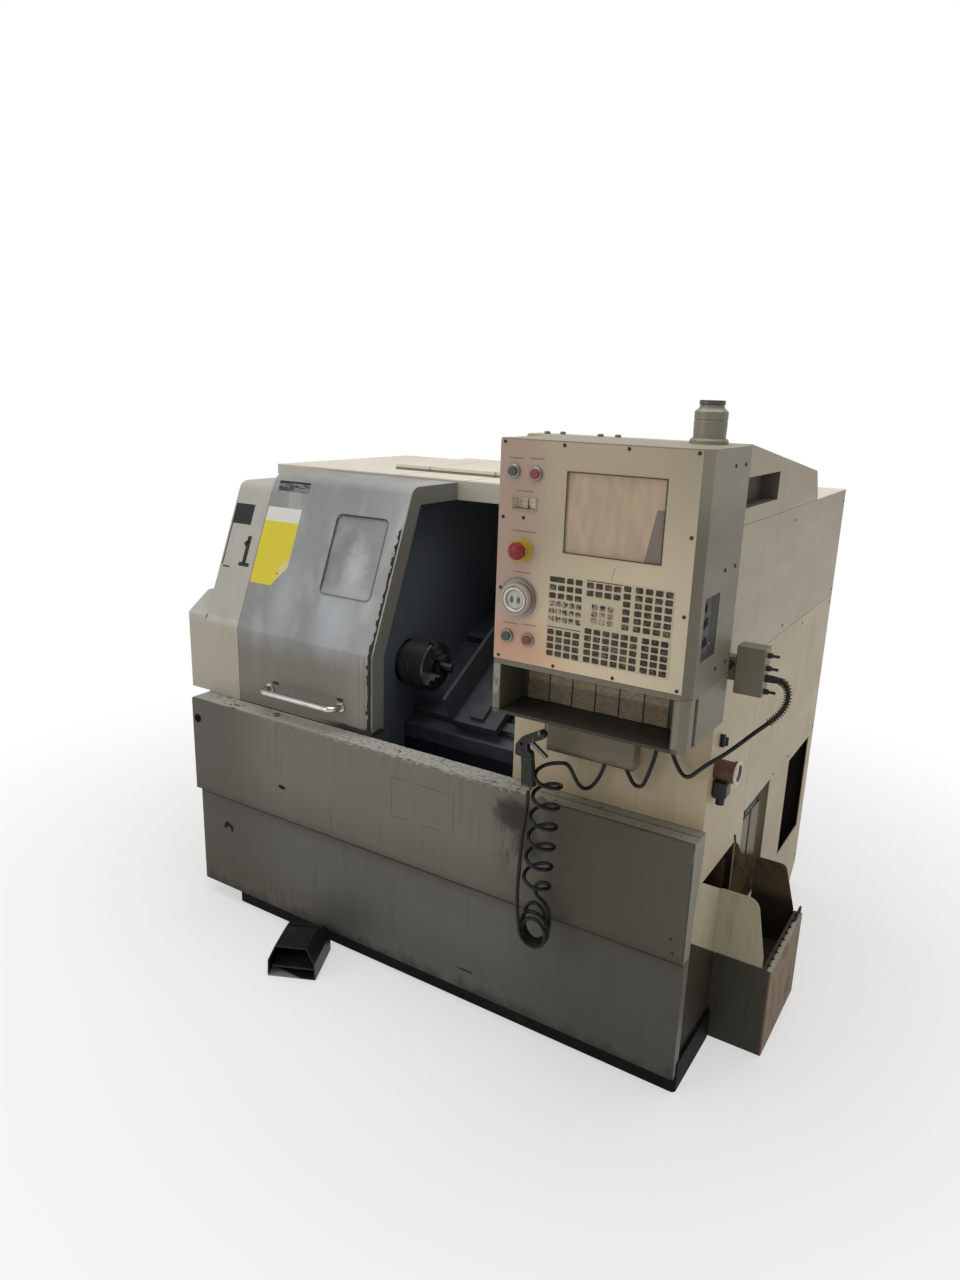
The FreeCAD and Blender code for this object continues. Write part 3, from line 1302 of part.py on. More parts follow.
hood_shape = along_y(hood_outline(0), 0, pedal_depth)
hood_shape = hood_shape.cut(along_y(
    [(p[0], p[1] + (pedal_wall if p[1] == 0 else 0)) for p in hood_outline(pedal_wall)],
    -5, pedal_depth - 28))
rear_slope = block(-10, pedal_width + 10, pedal_depth - 60, pedal_depth + 60,
                   pedal_height, pedal_height + 90)
rear_slope.rotate(V(0, pedal_depth - 60, pedal_height), V(1, 0, 0), -22)
hood_shape = hood_shape.cut(rear_slope)
boss = rod(pedal_width / 2, pedal_depth - 2, 30, (0, 1, 0), 12, 20)
pin_y = 120.0
pin_z = 22.0
pin_radius = 4.0
pin = rod(pedal_wall - 1, pin_y, pin_z, (1, 0, 0), pin_radius, pedal_width - 2 * pedal_wall + 2)
hood_shape = joined(hood_shape, boss, pin)
save("pedal_housing", pedal_place(hood_shape))
treadle_side = 10.0
treadle = along_x([(14, 24), (14, 30), (60, 38), (126, 30), (126, 14), (114, 14), (60, 26)],
                  treadle_side, pedal_width - treadle_side)
treadle = treadle.cut(rod(0, pin_y, pin_z, (1, 0, 0), pin_radius + shaft_gap, pedal_width))
save("pedal_treadle", pedal_place(treadle))
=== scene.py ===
import math

import bpy
from mathutils import Matrix, Vector


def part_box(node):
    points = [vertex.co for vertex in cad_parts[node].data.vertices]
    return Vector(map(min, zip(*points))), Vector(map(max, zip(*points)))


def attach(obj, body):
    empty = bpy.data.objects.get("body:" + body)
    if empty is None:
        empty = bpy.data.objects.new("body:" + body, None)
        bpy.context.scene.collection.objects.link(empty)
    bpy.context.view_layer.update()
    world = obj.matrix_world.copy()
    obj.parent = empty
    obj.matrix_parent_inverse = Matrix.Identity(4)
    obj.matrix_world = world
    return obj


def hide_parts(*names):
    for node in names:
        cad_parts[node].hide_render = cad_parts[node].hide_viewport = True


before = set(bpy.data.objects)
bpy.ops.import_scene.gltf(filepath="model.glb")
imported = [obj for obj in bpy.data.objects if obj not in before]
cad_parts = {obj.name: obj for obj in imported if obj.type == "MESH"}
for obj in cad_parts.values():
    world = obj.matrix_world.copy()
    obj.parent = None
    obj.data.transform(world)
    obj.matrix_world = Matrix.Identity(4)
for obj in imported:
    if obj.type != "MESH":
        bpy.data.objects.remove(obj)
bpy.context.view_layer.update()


# ---- front apron ----
# Two long folded steel sheets, painted warm grey: an upper band with a ledge under the door,
# and a lower panel set a little behind it.  Oil and rust have run down them for years.
MM = 0.001
FRONT, RIGHT, UP = (0, -1, 0), (1, 0, 0), (0, 0, 1)
apron_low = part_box("apron_band")[0]


def at(x, y, z):
    """A place given in millimetres from the apron's left front corner at the floor."""
    return Vector((apron_low.x + x * MM, apron_low.y + y * MM, z * MM))


class Value:
    """A number that changes over a surface; Python's signs on it add Math nodes."""

    def __init__(self, finish, socket):
        self.finish = finish
        self.socket = socket

    def math(self, operation, first, second):
        """Add a Math node."""
        return self.finish.node("ShaderNodeMath", {"operation": operation}, {0: first, 1: second})

    def step(self, low, high):
        """0 below low, 1 above high, and soft between; falling if low is the larger."""
        if low > high:
            return 1 - self.step(high, low)
        return self.finish.node("ShaderNodeMapRange", {"interpolation_type": "SMOOTHSTEP"},
                                {0: self, 1: low, 2: high})

    def between(self, low, high, soft=1):
        """1 from low to high, fading to 0 over a soft width on both sides."""
        return self.step(low - soft, low) * self.step(high + soft, high)

    def __add__(self, other):
        return self.math("ADD", self, other)

    def __sub__(self, other):
        return self.math("SUBTRACT", self, other)

    def __rsub__(self, other):
        return self.math("SUBTRACT", other, self)

    def __mul__(self, other):
        return self.math("MULTIPLY", self, other)

    __radd__ = __add__
    __rmul__ = __mul__


class Finish:
    """A material in the making, drawn in millimetres from the apron's corner."""

    def __init__(self, name, colour, roughness=0.5, metallic=0, coat=0, ior=1.33):
        self.material = bpy.data.materials.new(name)
        self.material.use_nodes = True
        self.tree = self.material.node_tree
        self.surface = self.tree.nodes["Principled BSDF"]
        self.surface.inputs["Coat Weight"].default_value = coat
        self.surface.inputs["IOR"].default_value = ior
        self.colour = colour
        self.roughness = roughness
        self.metallic = metallic
        self.joined = False
        self.height = 0
        here = self.node("ShaderNodeTexCoord", out="Object")
        per_metre = 1 / MM
        start = -per_metre * at(0, 0, 0)
        self.spot = self.node("ShaderNodeVectorMath", {"operation": "MULTIPLY_ADD"},
                              {0: here, 1: (per_metre,) * 3, 2: start})
        axes = self.node("ShaderNodeSeparateXYZ", {}, {0: self.spot}).socket.node.outputs
        self.axes = self.x, self.y, self.z = [Value(self, axis) for axis in axes]

    def plug(self, socket, value):
        """Link a changing value to a socket, or set a plain one on it."""
        if isinstance(value, Value):
            self.tree.links.new(value.socket, socket)
        else:
            socket.default_value = (*value, 1) if socket.type == "RGBA" else value

    def node(self, kind, settings=None, sockets=None, out=0):
        """Add a node: its settings first, then the values or links of its sockets."""
        made = self.tree.nodes.new(kind)
        for name, value in (settings or {}).items():
            setattr(made, name, value)
        for name, value in (sockets or {}).items():
            self.plug(made.inputs[name], value)
        return Value(self, made.outputs[out])

    def vector(self, operation, first, second=(0, 0, 0), out=0):
        """Add a node for sums with places instead of numbers."""
        return self.node("ShaderNodeVectorMath", {"operation": operation},
                         {0: first, 1: second}, out)

    def noise(self, size, stretch=(1, 1, 1), detail=3, shift=0, turn=(0, 0, 0)):
        """Soft noise whose clouds are about size millimetres across, times stretch."""
        share = [1 / (size * s) for s in stretch]
        placed = self.node("ShaderNodeMapping", {}, {"Vector": self.spot, "Scale": share,
                                                     "Rotation": turn, "Location": (shift,) * 3})
        return self.node("ShaderNodeTexNoise", {}, {"Vector": placed, "Scale": 1,
                                                    "Detail": detail})

    def field(self, left, right, low, high, soft=1):
        """An upright rectangle, as seen from the front."""
        return self.x.between(left, right, soft) * self.z.between(low, high, soft)

    def oval(self, centre, radii, ragged=0, soft=0.3, grain=20):
        """A soft-edged spot, its edge broken by noise."""
        away = self.vector("DIVIDE", self.vector("SUBTRACT", self.spot, centre), radii)
        reach = self.vector("LENGTH", away, out="Value")
        if ragged:
            reach = reach + (self.noise(grain, detail=5, shift=centre[0]) - 0.5) * ragged
        return reach.step(1 + soft, 1 - soft)

    def lay(self, mask, colour=None, roughness=None, metallic=None, height=None):
        """Lay another colour or another surface over the finish where mask is 1."""
        if colour is not None:
            self.colour = self.node("ShaderNodeMix", {"data_type": "RGBA"},
                                    {0: mask, 6: self.colour, 7: colour}, 2)
        if roughness is not None:
            self.roughness = self.roughness * (1 - mask) + mask * roughness
        if metallic is not None:
            self.metallic = self.metallic * (1 - mask) + mask * metallic
        if height is not None:
            self.height = self.height + mask * height

    def shade(self, amount):
        """Darken or lighten the colour by a changing amount."""
        self.colour = self.node("ShaderNodeVectorMath", {"operation": "SCALE"},
                                {0: self.colour, "Scale": amount})

    def mottle(self, depth, size, **cloud):
        """Darken and lighten the colour in soft clouds."""
        self.shade(1 + (self.noise(size, **cloud) - 0.5) * depth)

    def done(self):
        """Join everything to the surface shader, once, and give the material."""
        if self.joined:
            return self.material
        self.joined = True
        ends = {"Base Color": self.colour, "Roughness": self.roughness, "Metallic": self.metallic}
        if isinstance(self.height, Value):
            ends["Normal"] = self.node("ShaderNodeBump", {},
                                       {"Height": self.height, "Distance": MM})
        for name, value in ends.items():
            self.plug(self.surface.inputs[name], value)
        return self.material


def old_paint(name, colour, roughness=0.45, cloud=0.14, streaks=0.18, specks=0.12):
    """Sprayed sheet metal after long use: clouds, runs, fine specks and orange peel."""
    paint = Finish(name, colour, roughness)
    clouds = paint.noise(260, detail=5)
    fine = paint.noise(9, detail=4)
    runs = paint.noise(16, (1, 1, 16), 4, 3)
    wiped = paint.noise(120, (3, 3, 0.6), 4, 7)
    paint.shade(1 + (clouds - 0.5) * (2 * cloud) + (fine - 0.5) * specks
                - runs.step(0.52, 0.75) * streaks)
    paint.roughness = roughness + (wiped - 0.5) * 0.25 + (fine - 0.5) * 0.12
    paint.height = (paint.noise(2.6, detail=2) - 0.5) * 0.05
    return paint


def dress(finish, *nodes):
    """Give CAD pieces their finish."""
    for node in nodes:
        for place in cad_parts[node].material_slots:
            place.material = finish.done()


def pick(*pieces):
    """Select these pieces alone, so that the next operator acts on nothing else."""
    bpy.ops.object.select_all(action="DESELECT")
    for piece in reversed(pieces):
        piece.select_set(True)
        bpy.context.view_layer.objects.active = piece


def in_edit(operator, **settings):
    """Run one modelling operator on the active piece in edit mode."""
    bpy.ops.object.mode_set(mode="EDIT")
    operator(**settings)
    bpy.ops.object.mode_set(mode="OBJECT")


def shaped(name, scale=(1, 1, 1)):
    """Name the new primitive, stretch it, and keep its place and size in its mesh."""
    bpy.ops.transform.resize(value=scale)
    bpy.ops.object.transform_apply(location=True, rotation=True, scale=True)
    bpy.context.object.name = name
    return bpy.context.object


def round_edges(piece, width, steps=2):
    """Round a piece's sharp edges by a width in millimetres."""
    rounding = piece.modifiers.new("rounded edges", "BEVEL")
    rounding.width = width * MM
    rounding.segments = steps
    rounding.limit_method = "ANGLE"
    bpy.context.view_layer.objects.active = piece
    bpy.ops.object.modifier_apply(modifier=rounding.name)


def rim(piece, wanted, inset, depth=0):
    """Inset the faces that a test picks, and push the new ones in by a depth."""
    bpy.context.view_layer.objects.active = piece
    in_edit(bpy.ops.mesh.select_mode, type="FACE")
    in_edit(bpy.ops.mesh.select_all, action="DESELECT")
    for face in piece.data.polygons:
        face.select = wanted(face)
    in_edit(bpy.ops.mesh.inset, thickness=inset * MM, depth=-depth * MM)


def slab(name, low, high, edge=0.5, steps=2):
    """A rounded bar between two corners in millimetres from the apron's corner."""
    pick()
    low, high = at(*low), at(*high)
    bpy.ops.mesh.primitive_cube_add(size=1, location=(low + high) / 2)
    piece = shaped(name, high - low)
    round_edges(piece, edge, steps)
    return piece


def top_face(face):
    """True for a pattern's top, for rim."""
    return face.normal.z > 0.99


def disc(name, radius, height, edge, sides=24, inset=0, depth=0):
    """A turned disc standing on the origin, a pattern for set_out, its top inset."""
    pick()
    bpy.ops.mesh.primitive_cylinder_add(vertices=sides, radius=radius * MM,
                                        depth=height * MM, location=(0, 0, height * MM / 2))
    piece = shaped(name)
    round_edges(piece, edge)
    if inset:
        rim(piece, top_face, inset, depth)
    return piece


def merged(name, pieces):
    """Join pieces into one."""
    pick(*pieces)
    if len(pieces) > 1:
        bpy.ops.object.join()
    pieces[0].name = name
    return pieces[0]


def linked(name, data):
    """A new object in the scene that holds a mesh, a curve, a lamp or a camera."""
    made = bpy.data.objects.new(name, data)
    bpy.context.collection.objects.link(made)
    return made


def facing(way):
    """The turn that brings a pattern's top to face a way."""
    return Vector(way).to_track_quat("Z", "Y").to_matrix().to_4x4()


def set_out(pattern, spots, way=FRONT, spin=0):
    """Set copies of a pattern on a surface, join them, and take the pattern away."""
    made = []
    for spot in spots:
        piece = linked(pattern.name, pattern.data.copy())
        own = Matrix.Rotation(spin * (len(made) + 1), 4, "Z")
        piece.data.transform(Matrix.Translation(at(*spot)) @ facing(way) @ own)
        made.append(piece)
    name = pattern.name
    bpy.data.objects.remove(pattern)
    return merged(name, made)


def fit(piece, finish, body="machine"):
    """Give a new piece its finish and the body that carries it."""
    piece.data.materials.clear()
    piece.data.materials.append(finish.done())
    pick(piece)
    bpy.ops.object.shade_smooth_by_angle(angle=math.radians(35))
    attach(piece, body)


def fasten(name, sizes, spots, finish, way=FRONT, spin=0):
    """Turned screws, plugs or pegs: one pattern by disc's sizes, set out and joined."""
    fit(set_out(disc(name, *sizes), spots, way, spin), finish)


def moulded(name, colour, roughness=0.4):
    """Coloured plastic, faded and rubbed in patches."""
    plastic = Finish(name, colour, roughness)
    plastic.mottle(0.35, 7, detail=4)
    plastic.height = (plastic.noise(2) - 0.5) * 0.05
    return plastic


GREY = (0.156, 0.146, 0.117)
DARK_GREY = (0.055, 0.05, 0.032)
LEDGE_GREY = (0.33, 0.325, 0.285)
OIL = (0.018, 0.013, 0.01)
RUST = (0.105, 0.048, 0.022)
SOOT = (0.03, 0.027, 0.021)
PIT = (0.004, 0.004, 0.004)
band = old_paint("apron band paint", GREY)
x, y, z = band.axes
band.lay(x.step(1130, 1500) * 0.85, DARK_GREY)
band.shade(1 + x.step(1560, 1740) * 0.2)
band.lay(x.step(420, 120) * 0.9, (0.088, 0.081, 0.066))
band.lay(z.step(560, 420) * 0.35, (0.065, 0.058, 0.042))
on_ledge = y.step(3, 9)
band.lay(on_ledge * z.step(725, 730), LEDGE_GREY)
band.lay(on_ledge * x.step(1120, 1300) * 0.9, (0.29, 0.268, 0.205))
fold_line = y.between(41, 44, 1.5)
band.lay(fold_line * x.step(1180, 1260) * 0.8, SOOT)
chipped = band.noise(13, (2, 1, 1), 8, 5)
near_fold = z.step(716, 731)
worn_stretch = x.between(640, 1240, 120)
band.lay(chipped.step(0.66, 0.57) * on_ledge * worn_stretch * near_fold * 0.2,
         (0.45, 0.44, 0.4), 0.6, height=-0.25)
band.lay(chipped.step(0.62, 0.66) * near_fold * 0.8, SOOT, 0.5, height=-0.3)
fine_chips = band.noise(6, (2.2, 1, 1), 7, 2)
band.lay(fine_chips.step(0.54, 0.59) * near_fold * worn_stretch * 0.5, (0.07, 0.065, 0.05),
         0.6, height=-0.2)
band.lay(fine_chips.step(0.47, 0.38) * near_fold * worn_stretch * 0.3, (0.5, 0.5, 0.46), 0.5)
# oil beside the hose and its drips, and a scuff at the left
band.lay(band.oval((1268, 0, 664), (62, 60, 46), 1.1, 0.45, 24) * 0.85, OIL, 0.35)
band.lay(band.oval((1283, 0, 662), (36, 60, 34), 0.5, 0.35, 16) * 0.9, (0.028, 0.016, 0.012), 0.3)
band.lay(band.oval((1312, 0, 590), (40, 60, 40), 1, 0.6, 22) * 0.8, OIL, 0.35)
fall = band.oval((1270, 0, 590), (60, 60, 100), 1.6, 0.5, 14)
band.lay(fall * band.noise(5, (1, 1, 14), 3).step(0.48, 0.62) * 0.6, SOOT, 0.4)
band.lay(band.oval((408, 0, 512), (16, 30, 7), 0.8, 0.3, 6), PIT, 0.8, height=-0.2)
# the outline of a plate that was once riveted on
patch_line = band.field(849, 1070, 543, 668, 1.5) * (1 - band.field(853, 1066, 547, 664, 1.5))
band.lay(patch_line * band.noise(60).step(0.3, 0.55) * 0.7, (0.09, 0.084, 0.06), height=0.4)
scrape = band.noise(3.2, (70, 1, 1), 5, 2, (0, 0.05, 0))
band.lay(scrape.step(0.7, 0.78) * z.step(690, 730) * 0.5, LEDGE_GREY)
band.lay(z.step(432, 401) * 0.35, SOOT)
band.lay(x.step(1756, 1759) * 0.85, (0.24, 0.222, 0.17), 0.5)
edge_line = x.between(1757, 1760) * y.step(2.5, 1)
band.lay(edge_line * band.noise(60, (1, 1, 3), 5).step(0.36, 0.5) * 0.8, (0.03, 0.027, 0.02), 0.5)
for hole_x, hole_z in ((1722, 462), (1731, 425)):
    band.lay(band.oval((hole_x, 0, hole_z), (4, 20, 4), 0.4, 0.3, 4), (0.01, 0.009, 0.008), 0.5)
dress(band, "apron_band")

panel = old_paint("apron panel paint", (0.104, 0.1, 0.086))
x, y, z = panel.axes
panel.lay(z.step(260, 110) * 0.5, (0.07, 0.066, 0.056))
panel.lay(x.step(460, 150) * 0.7, (0.06, 0.05, 0.036))
panel.lay(x.step(1150, 1500) * 0.75, (0.058, 0.057, 0.042))
# under the band's lower edge the panel is darker: a brown stain with painted shadow, and where it
# runs up behind the band it is painted near black as shade
stain_and_shadow_under_band = (z + (panel.noise(90) - 0.5) * 30).step(350, 396)
panel.lay(stain_and_shadow_under_band * 0.55, (0.066, 0.05, 0.036))
panel.lay(z.step(386, 392) * 0.85, (0.02, 0.015, 0.01))
rust_runs = panel.noise(7, (1, 1, 12), 4, 1).step(0.47, 0.66)
rust_low = z.step(190, 95)
rust_place = x.between(60, 420, 160)
panel.lay(rust_runs * rust_low * rust_place * 0.75, RUST, 0.6)
grime_edge = panel.noise(40, (1, 1, 2.2), 6, 4)
grime = (z - grime_edge * 110).step(40, -12)
panel.lay(grime * 0.9, SOOT, 0.55)
mark = panel.oval((139, 11, 286), (23, 30, 17), 0.9, 0.12, 8)
mark_cut = panel.oval((139, 11, 276), (11, 30, 11), 0.3, 0.1, 8)
panel.lay(mark * (1 - mark_cut), PIT, 0.8)
panel.lay(panel.oval((1118, 11, 118), (34, 30, 3.5), 1.4, 0.3, 9), (0.01, 0.01, 0.009), 0.4)
right_rim = x.step(1744, 1750)
panel.lay(right_rim * panel.noise(30, (1, 1, 3), 6).step(0.5, 0.62) * 0.35, (0.15, 0.14, 0.105))
panel.lay(y.step(13, 15) * 0.8, (0.125, 0.113, 0.083))
dress(panel, "apron_panel")

black_plastic = moulded("black plastic", (0.02, 0.02, 0.021))
plug_black = Finish("plug black", (0.005, 0.005, 0.005), 0.8, ior=1.15)
fasten("apron_hole_plug", (14, 3.2, 1.6, 24, 5, 0.8), [(25, -0.2, 662)],
       plug_black)

worn_steel = Finish("worn steel", (0.2, 0.19, 0.17), 0.42, 0.7)
worn_steel.mottle(0.9, 5, detail=4)
worn_steel.lay(worn_steel.noise(9, detail=5).step(0.55, 0.7) * 0.7, RUST, 0.7)
fasten("ledge_door_stop", (9, 9, 1.4, 24, 3, 1.5), [(354, 40, 731.5)], worn_steel, way=UP)
fasten("ledge_screws", (4.5, 2.4, 0.8, 16, 1.8, 1),
       [(160, 24, 731.8), (182, 33, 731.8)], worn_steel, way=UP)


# ---- plinth ----
# The machine's foot: a welded steel frame, brushed with thick black paint that has gone
# matt and dusty.  The apron and the walls are screwed to it.
plinth = Finish("plinth black paint", (0.008, 0.008, 0.008), 0.6, ior=1.15)
dust = plinth.noise(70, detail=6)
plinth.lay(dust.step(0.5, 0.75) * 0.2, (0.05, 0.046, 0.038), 0.8)
plinth.height = (plinth.noise(5, detail=4) - 0.5) * 0.5
dress(plinth, "base_plinth")


# ---- left cover and belt cover ----
# Cream sheet metal at the headstock end: a tall fixed cover with a rolled crown, and a low
# box that closes the belt drive.
CREAM = (0.44, 0.425, 0.375)
YELLOWED = (0.35, 0.305, 0.19)
cover = old_paint("left cover paint", CREAM, 0.38, 0.08, 0.06, 0.05)
x, y, z = cover.axes
cover.lay(z.step(1010, 960) * 0.5, YELLOWED)
cover.lay(cover.noise(50, (1, 1, 3), 6).step(0.55, 0.75) * 0.25, YELLOWED)
on_slope = z.step(1002, 1010)
cover.shade(1 - on_slope * 0.12)
cover.lay(cover.field(6, 93, 1303, 1367, 0.8) * on_slope, (0.022, 0.022, 0.024), 0.45)
tape_trace = cover.field(7, 11, 1162, 1302) + cover.field(11, 44, 1162, 1165.5)
tape_break = cover.noise(34).step(0.28, 0.36)
cover.lay(tape_trace * tape_break * on_slope, (0.022, 0.021, 0.018), 0.6)
dress(cover, "left_cover", "belt_cover")

lean = math.atan2(198, 488)
knee = (76, 984)


def swing(piece, hinge, angle, axis):
    """Turn a piece about a hinge, in its mesh."""
    piece.data.transform(Matrix.Translation(hinge) @ Matrix.Rotation(angle, 4, axis)
                         @ Matrix.Translation(-hinge))
    return piece


def on_lean(piece):
    """Tip a piece, drawn standing on the front plane, back onto the leaning front."""
    return swing(piece, at(0, *knee), -lean, "X")


def up_lean(height):
    """The place on the front plane that on_lean brings to a height on the leaning front."""
    return knee[1] + (height - knee[1]) / math.cos(lean)


# the machine's place in the shop, a plain "1" painted by hand
stem = slab("shop_number", (97, 75.7, up_lean(1180)), (114, 76.4, up_lean(1268)), 0.1, 1)
foot = slab("shop_number_foot", (83, 75.7, up_lean(1172)), (131, 76.4, up_lean(1184)), 0.1, 1)
flag = slab("shop_number_flag", (82, 75.7, up_lean(1236)), (106, 76.4, up_lean(1249)), 0.1, 1)
swing(flag, at(108, 76, up_lean(1243)), math.radians(-42), "Y")
flag.data.transform(Matrix.Translation((0, 0, 14 * MM)))
fit(on_lean(merged("shop_number", [stem, foot, flag])), black_plastic)


# ---- sliding door ----
# One bent steel skin, grey, with a small clouded window and a chromed pull.  Years of
# sliding past the frame have chipped its right edge to black.
DOOR_GREY = (0.24, 0.238, 0.231)
door = old_paint("door paint", DOOR_GREY, 0.36, 0.12, 0.1, 0.06)
x, y, z = door.axes
shine = door.noise(85, (1, 1, 3.2), 2, 1.5)
door.lay(shine.step(0.5, 0.72) * 0.4, (0.4, 0.41, 0.41), 0.28)
door.lay(z.step(1000, 900) * 0.8, (0.168, 0.153, 0.12))
door.shade(1 + x.step(540, 680) * 0.22)
edge_noise = door.noise(16, (1, 1, 1.6), 6, 3)
edge_wear = (edge_noise - 0.5) * 36 + z.step(1150, 900) * 5
edge = ((x + edge_wear).step(702, 705) * (x + (edge_noise - 0.5) * 10).step(714, 712)
        * z.step(1358, 1342))
door.lay(x.step(712, 714), (0.175, 0.175, 0.145), 0.45)
door.lay(x.between(714, 717, 1) * z.step(980, 1000) * 0.8, (0.36, 0.36, 0.33), 0.4)
door.lay(edge, (0.012, 0.011, 0.01), 0.5, height=-0.4)
for sheen, reach, strength in (((539, 111, 1070), (62, 200, 95), 0.6),
                               ((322, 119, 1091), (44, 200, 110), 0.38)):
    door.lay(door.oval(sheen, reach, 0.5, 0.95, 70) * strength, (0.44, 0.47, 0.49), 0.3)
sticker = door.field(154, 301, 1130, 1369, 0.8)
across_corner = x + (door.noise(18, detail=4) - 0.5) * 9 - (z - 1130) * 0.9
torn = across_corner.step(246, 247) * z.step(1200, 1190)
sticker = sticker * (1 - torn)
door.lay(sticker, (0.6, 0.6, 0.55), 0.4, height=0.12)
yellow_part = z.step(1326, 1325)
door.lay(sticker * yellow_part, (0.6, 0.5, 0.03), 0.4)
faded = door.oval((298, 300, 1170), (34, 300, 34), 0.9, 0.6, 16)
door.lay(sticker * faded * 0.75, (0.55, 0.53, 0.4), 0.5)
spot = door.oval((262, 300, 1168), (5, 300, 4), 0.8, 0.3, 4)
door.lay(spot, (0.35, 0.1, 0.02), 0.5)
seams = x.between(664, 665.5, 1.2) + x.between(686, 688, 1.2)
door.lay(seams * z.step(984, 976) * 0.55, (0.085, 0.08, 0.065))
for foot_x in (318, 592):
    chip = door.oval((foot_x, 76, 826), (15, 60, 6), 1.3, 0.3, 7)
    door.lay(chip, (0.02, 0.018, 0.015), 0.5, height=-0.2)
bottom_wear = door.noise(24, (3, 1, 1), 6, 8)
door.lay((z - bottom_wear * 26).step(738, 732) * x.step(480, 600), SOOT, 0.55)
dress(door, "door_panel")


def give_gauge(sheet, thick):
    """Give a flat sheet its thickness, on the side that it faces."""
    gauge = sheet.modifiers.new("gauge", "SOLIDIFY")
    gauge.thickness = thick * MM
    gauge.offset = 1
    bpy.ops.object.modifier_apply(modifier=gauge.name)


def frame_piece(name, x0, x1, z0, z1, y, corner, width, proud):
    """A flat frame with rounded corners round a rectangle that faces the operator."""
    pick()
    bpy.ops.mesh.primitive_plane_add(size=1, location=(0, 0, 0))
    piece = shaped(name, ((x1 - x0) * MM, (z1 - z0) * MM, 1))
    in_edit(bpy.ops.mesh.select_all, action="SELECT")
    in_edit(bpy.ops.mesh.bevel, affect="VERTICES", offset=corner * MM, segments=5)
    in_edit(bpy.ops.mesh.inset, thickness=width * MM)
    in_edit(bpy.ops.mesh.delete, type="FACE")
    give_gauge(piece, proud)
    round_edges(piece, min(proud, width) * 0.3)
    stand = Matrix.Rotation(math.radians(90), 4, "X")
    piece.data.transform(Matrix.Translation(at((x0 + x1) / 2, y, (z0 + z1) / 2)) @ stand)
    return piece


gasket = frame_piece("window_gasket", 455, 659, up_lean(1132), up_lean(1373), 76.2, 20, 4, 2)
seal = Finish("window gasket rubber", (0.15, 0.15, 0.14), 0.6)
# painted shadow: the gasket's left and top sides are painted dark
seal.lay(seal.x.step(462, 458), (0.03, 0.03, 0.028))
seal.lay(seal.z.step(1364, 1368), (0.03, 0.03, 0.028))
fit(on_lean(gasket), seal, "door")
rubber = moulded("black rubber", (0.02, 0.019, 0.018), 0.6)

plain_plate = slab("door_plain_plate", (178, 75.2, up_lean(1422)),
                   (313, 76.5, up_lean(1453)), 0.3)
tin = Finish("dull tin", (0.19, 0.19, 0.187), 0.5, 0.15)
tin.lay(tin.noise(13, (2.4, 1, 1), 5).step(0.47, 0.56) * 0.85, (0.035, 0.034, 0.032), 0.6)
tin.lay(tin.z.step(1446, 1449), (0.016, 0.015, 0.014), 0.6)
fit(on_lean(plain_plate), tin, "door")
rivets = set_out(disc("door_plate_rivets", 2.2, 1, 0.5, 12, 0.8, -0.2),
                 [(183, 75.3, up_lean(1437)), (308, 75.3, up_lean(1437))])
fit(on_lean(rivets), worn_steel, "door")

glass = Finish("clouded door glass", (0.175, 0.182, 0.168), 0.18, coat=0.3)
# painted highlights on the clouded glass: its lighter clouds, the pale patch in the middle and
# the lighter lower part
cloud = glass.noise(85, (1, 1, 2), 3)
glass.lay(cloud.step(0.4, 0.72) * 0.7, (0.31, 0.32, 0.315), 0.4)
wiped = glass.oval((572, 180, 1215), (38, 200, 66), 1.3, 0.8, 26)
glass.lay(wiped * 0.65, (0.47, 0.475, 0.455), 0.5)
glass.lay(glass.z.step(1180, 1140) * 0.35, (0.4, 0.41, 0.4), 0.4)
dress(glass, "door_window")

chrome = Finish("handle chrome", (0.56, 0.55, 0.52), 0.24, 1)
tarnish = chrome.noise(34, detail=4)
chrome.lay(tarnish.step(0.5, 0.72) * 0.5, (0.3, 0.28, 0.25), 0.4)
dress(chrome, "door_handle")


# ---- roof, hatch, fixed front and rear housing ----
# Cream sheet metal, folded and screwed, over the work area and down the back, with rust
# along its joints.  Black filter mats hang behind the rear louvres.
roof = old_paint("roof paint", (0.478, 0.45, 0.372), 0.5, 0.08, 0.03, 0.05)
x, y, z = roof.axes
on_roof = z.step(1474, 1477)
roof.shade(1 + on_roof * 0.28)
for seam_x in (470, 742):
    seam_line = x.between(seam_x, seam_x + 4, 2.5) * on_roof
    roof.lay(seam_line * (0.35 + roof.noise(60) * 0.6), (0.16, 0.1, 0.055))
hatch_low, hatch_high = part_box("roof_hatch")
hatch_front = (hatch_low.y - apron_low.y) / MM
hatch_left = (hatch_low.x - apron_low.x) / MM
hatch_gap = (y.between(hatch_front - 1, hatch_front + 2, 1) * x.step(hatch_left - 2, hatch_left)
             * z.step(hatch_high.z / MM - 8, hatch_high.z / MM - 11))
roof.lay(hatch_gap * 0.8, (0.07, 0.065, 0.045))
roof_front = y.between(524, 530, 4) * on_roof
roof.lay(roof_front * (0.2 + roof.noise(44) * 0.7), (0.2, 0.13, 0.075))
# painted shade: the rear housing's inner face, seen through the louvres, is painted dark
roof.lay(y.between(1300, 1308.5, 0.5) * z.step(720, 700), (0.04, 0.034, 0.027), 0.7)
dress(roof, "roof_panel", "roof_hatch", "rear_housing")
rear_face = (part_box("rear_housing")[1].y - apron_low.y) / MM
mats = [slab("louvre_mats", (left, rear_face - 5.5, 285),
             (left + 250, rear_face - 3.2, 455), 0.4) for left in (285, 1135)]
fit(merged("louvre_mats", mats), moulded("filter mat", (0.012, 0.012, 0.011), 0.9))
dress(old_paint("frame paint", (0.3, 0.29, 0.25), 0.5), "fixed_front_panel")


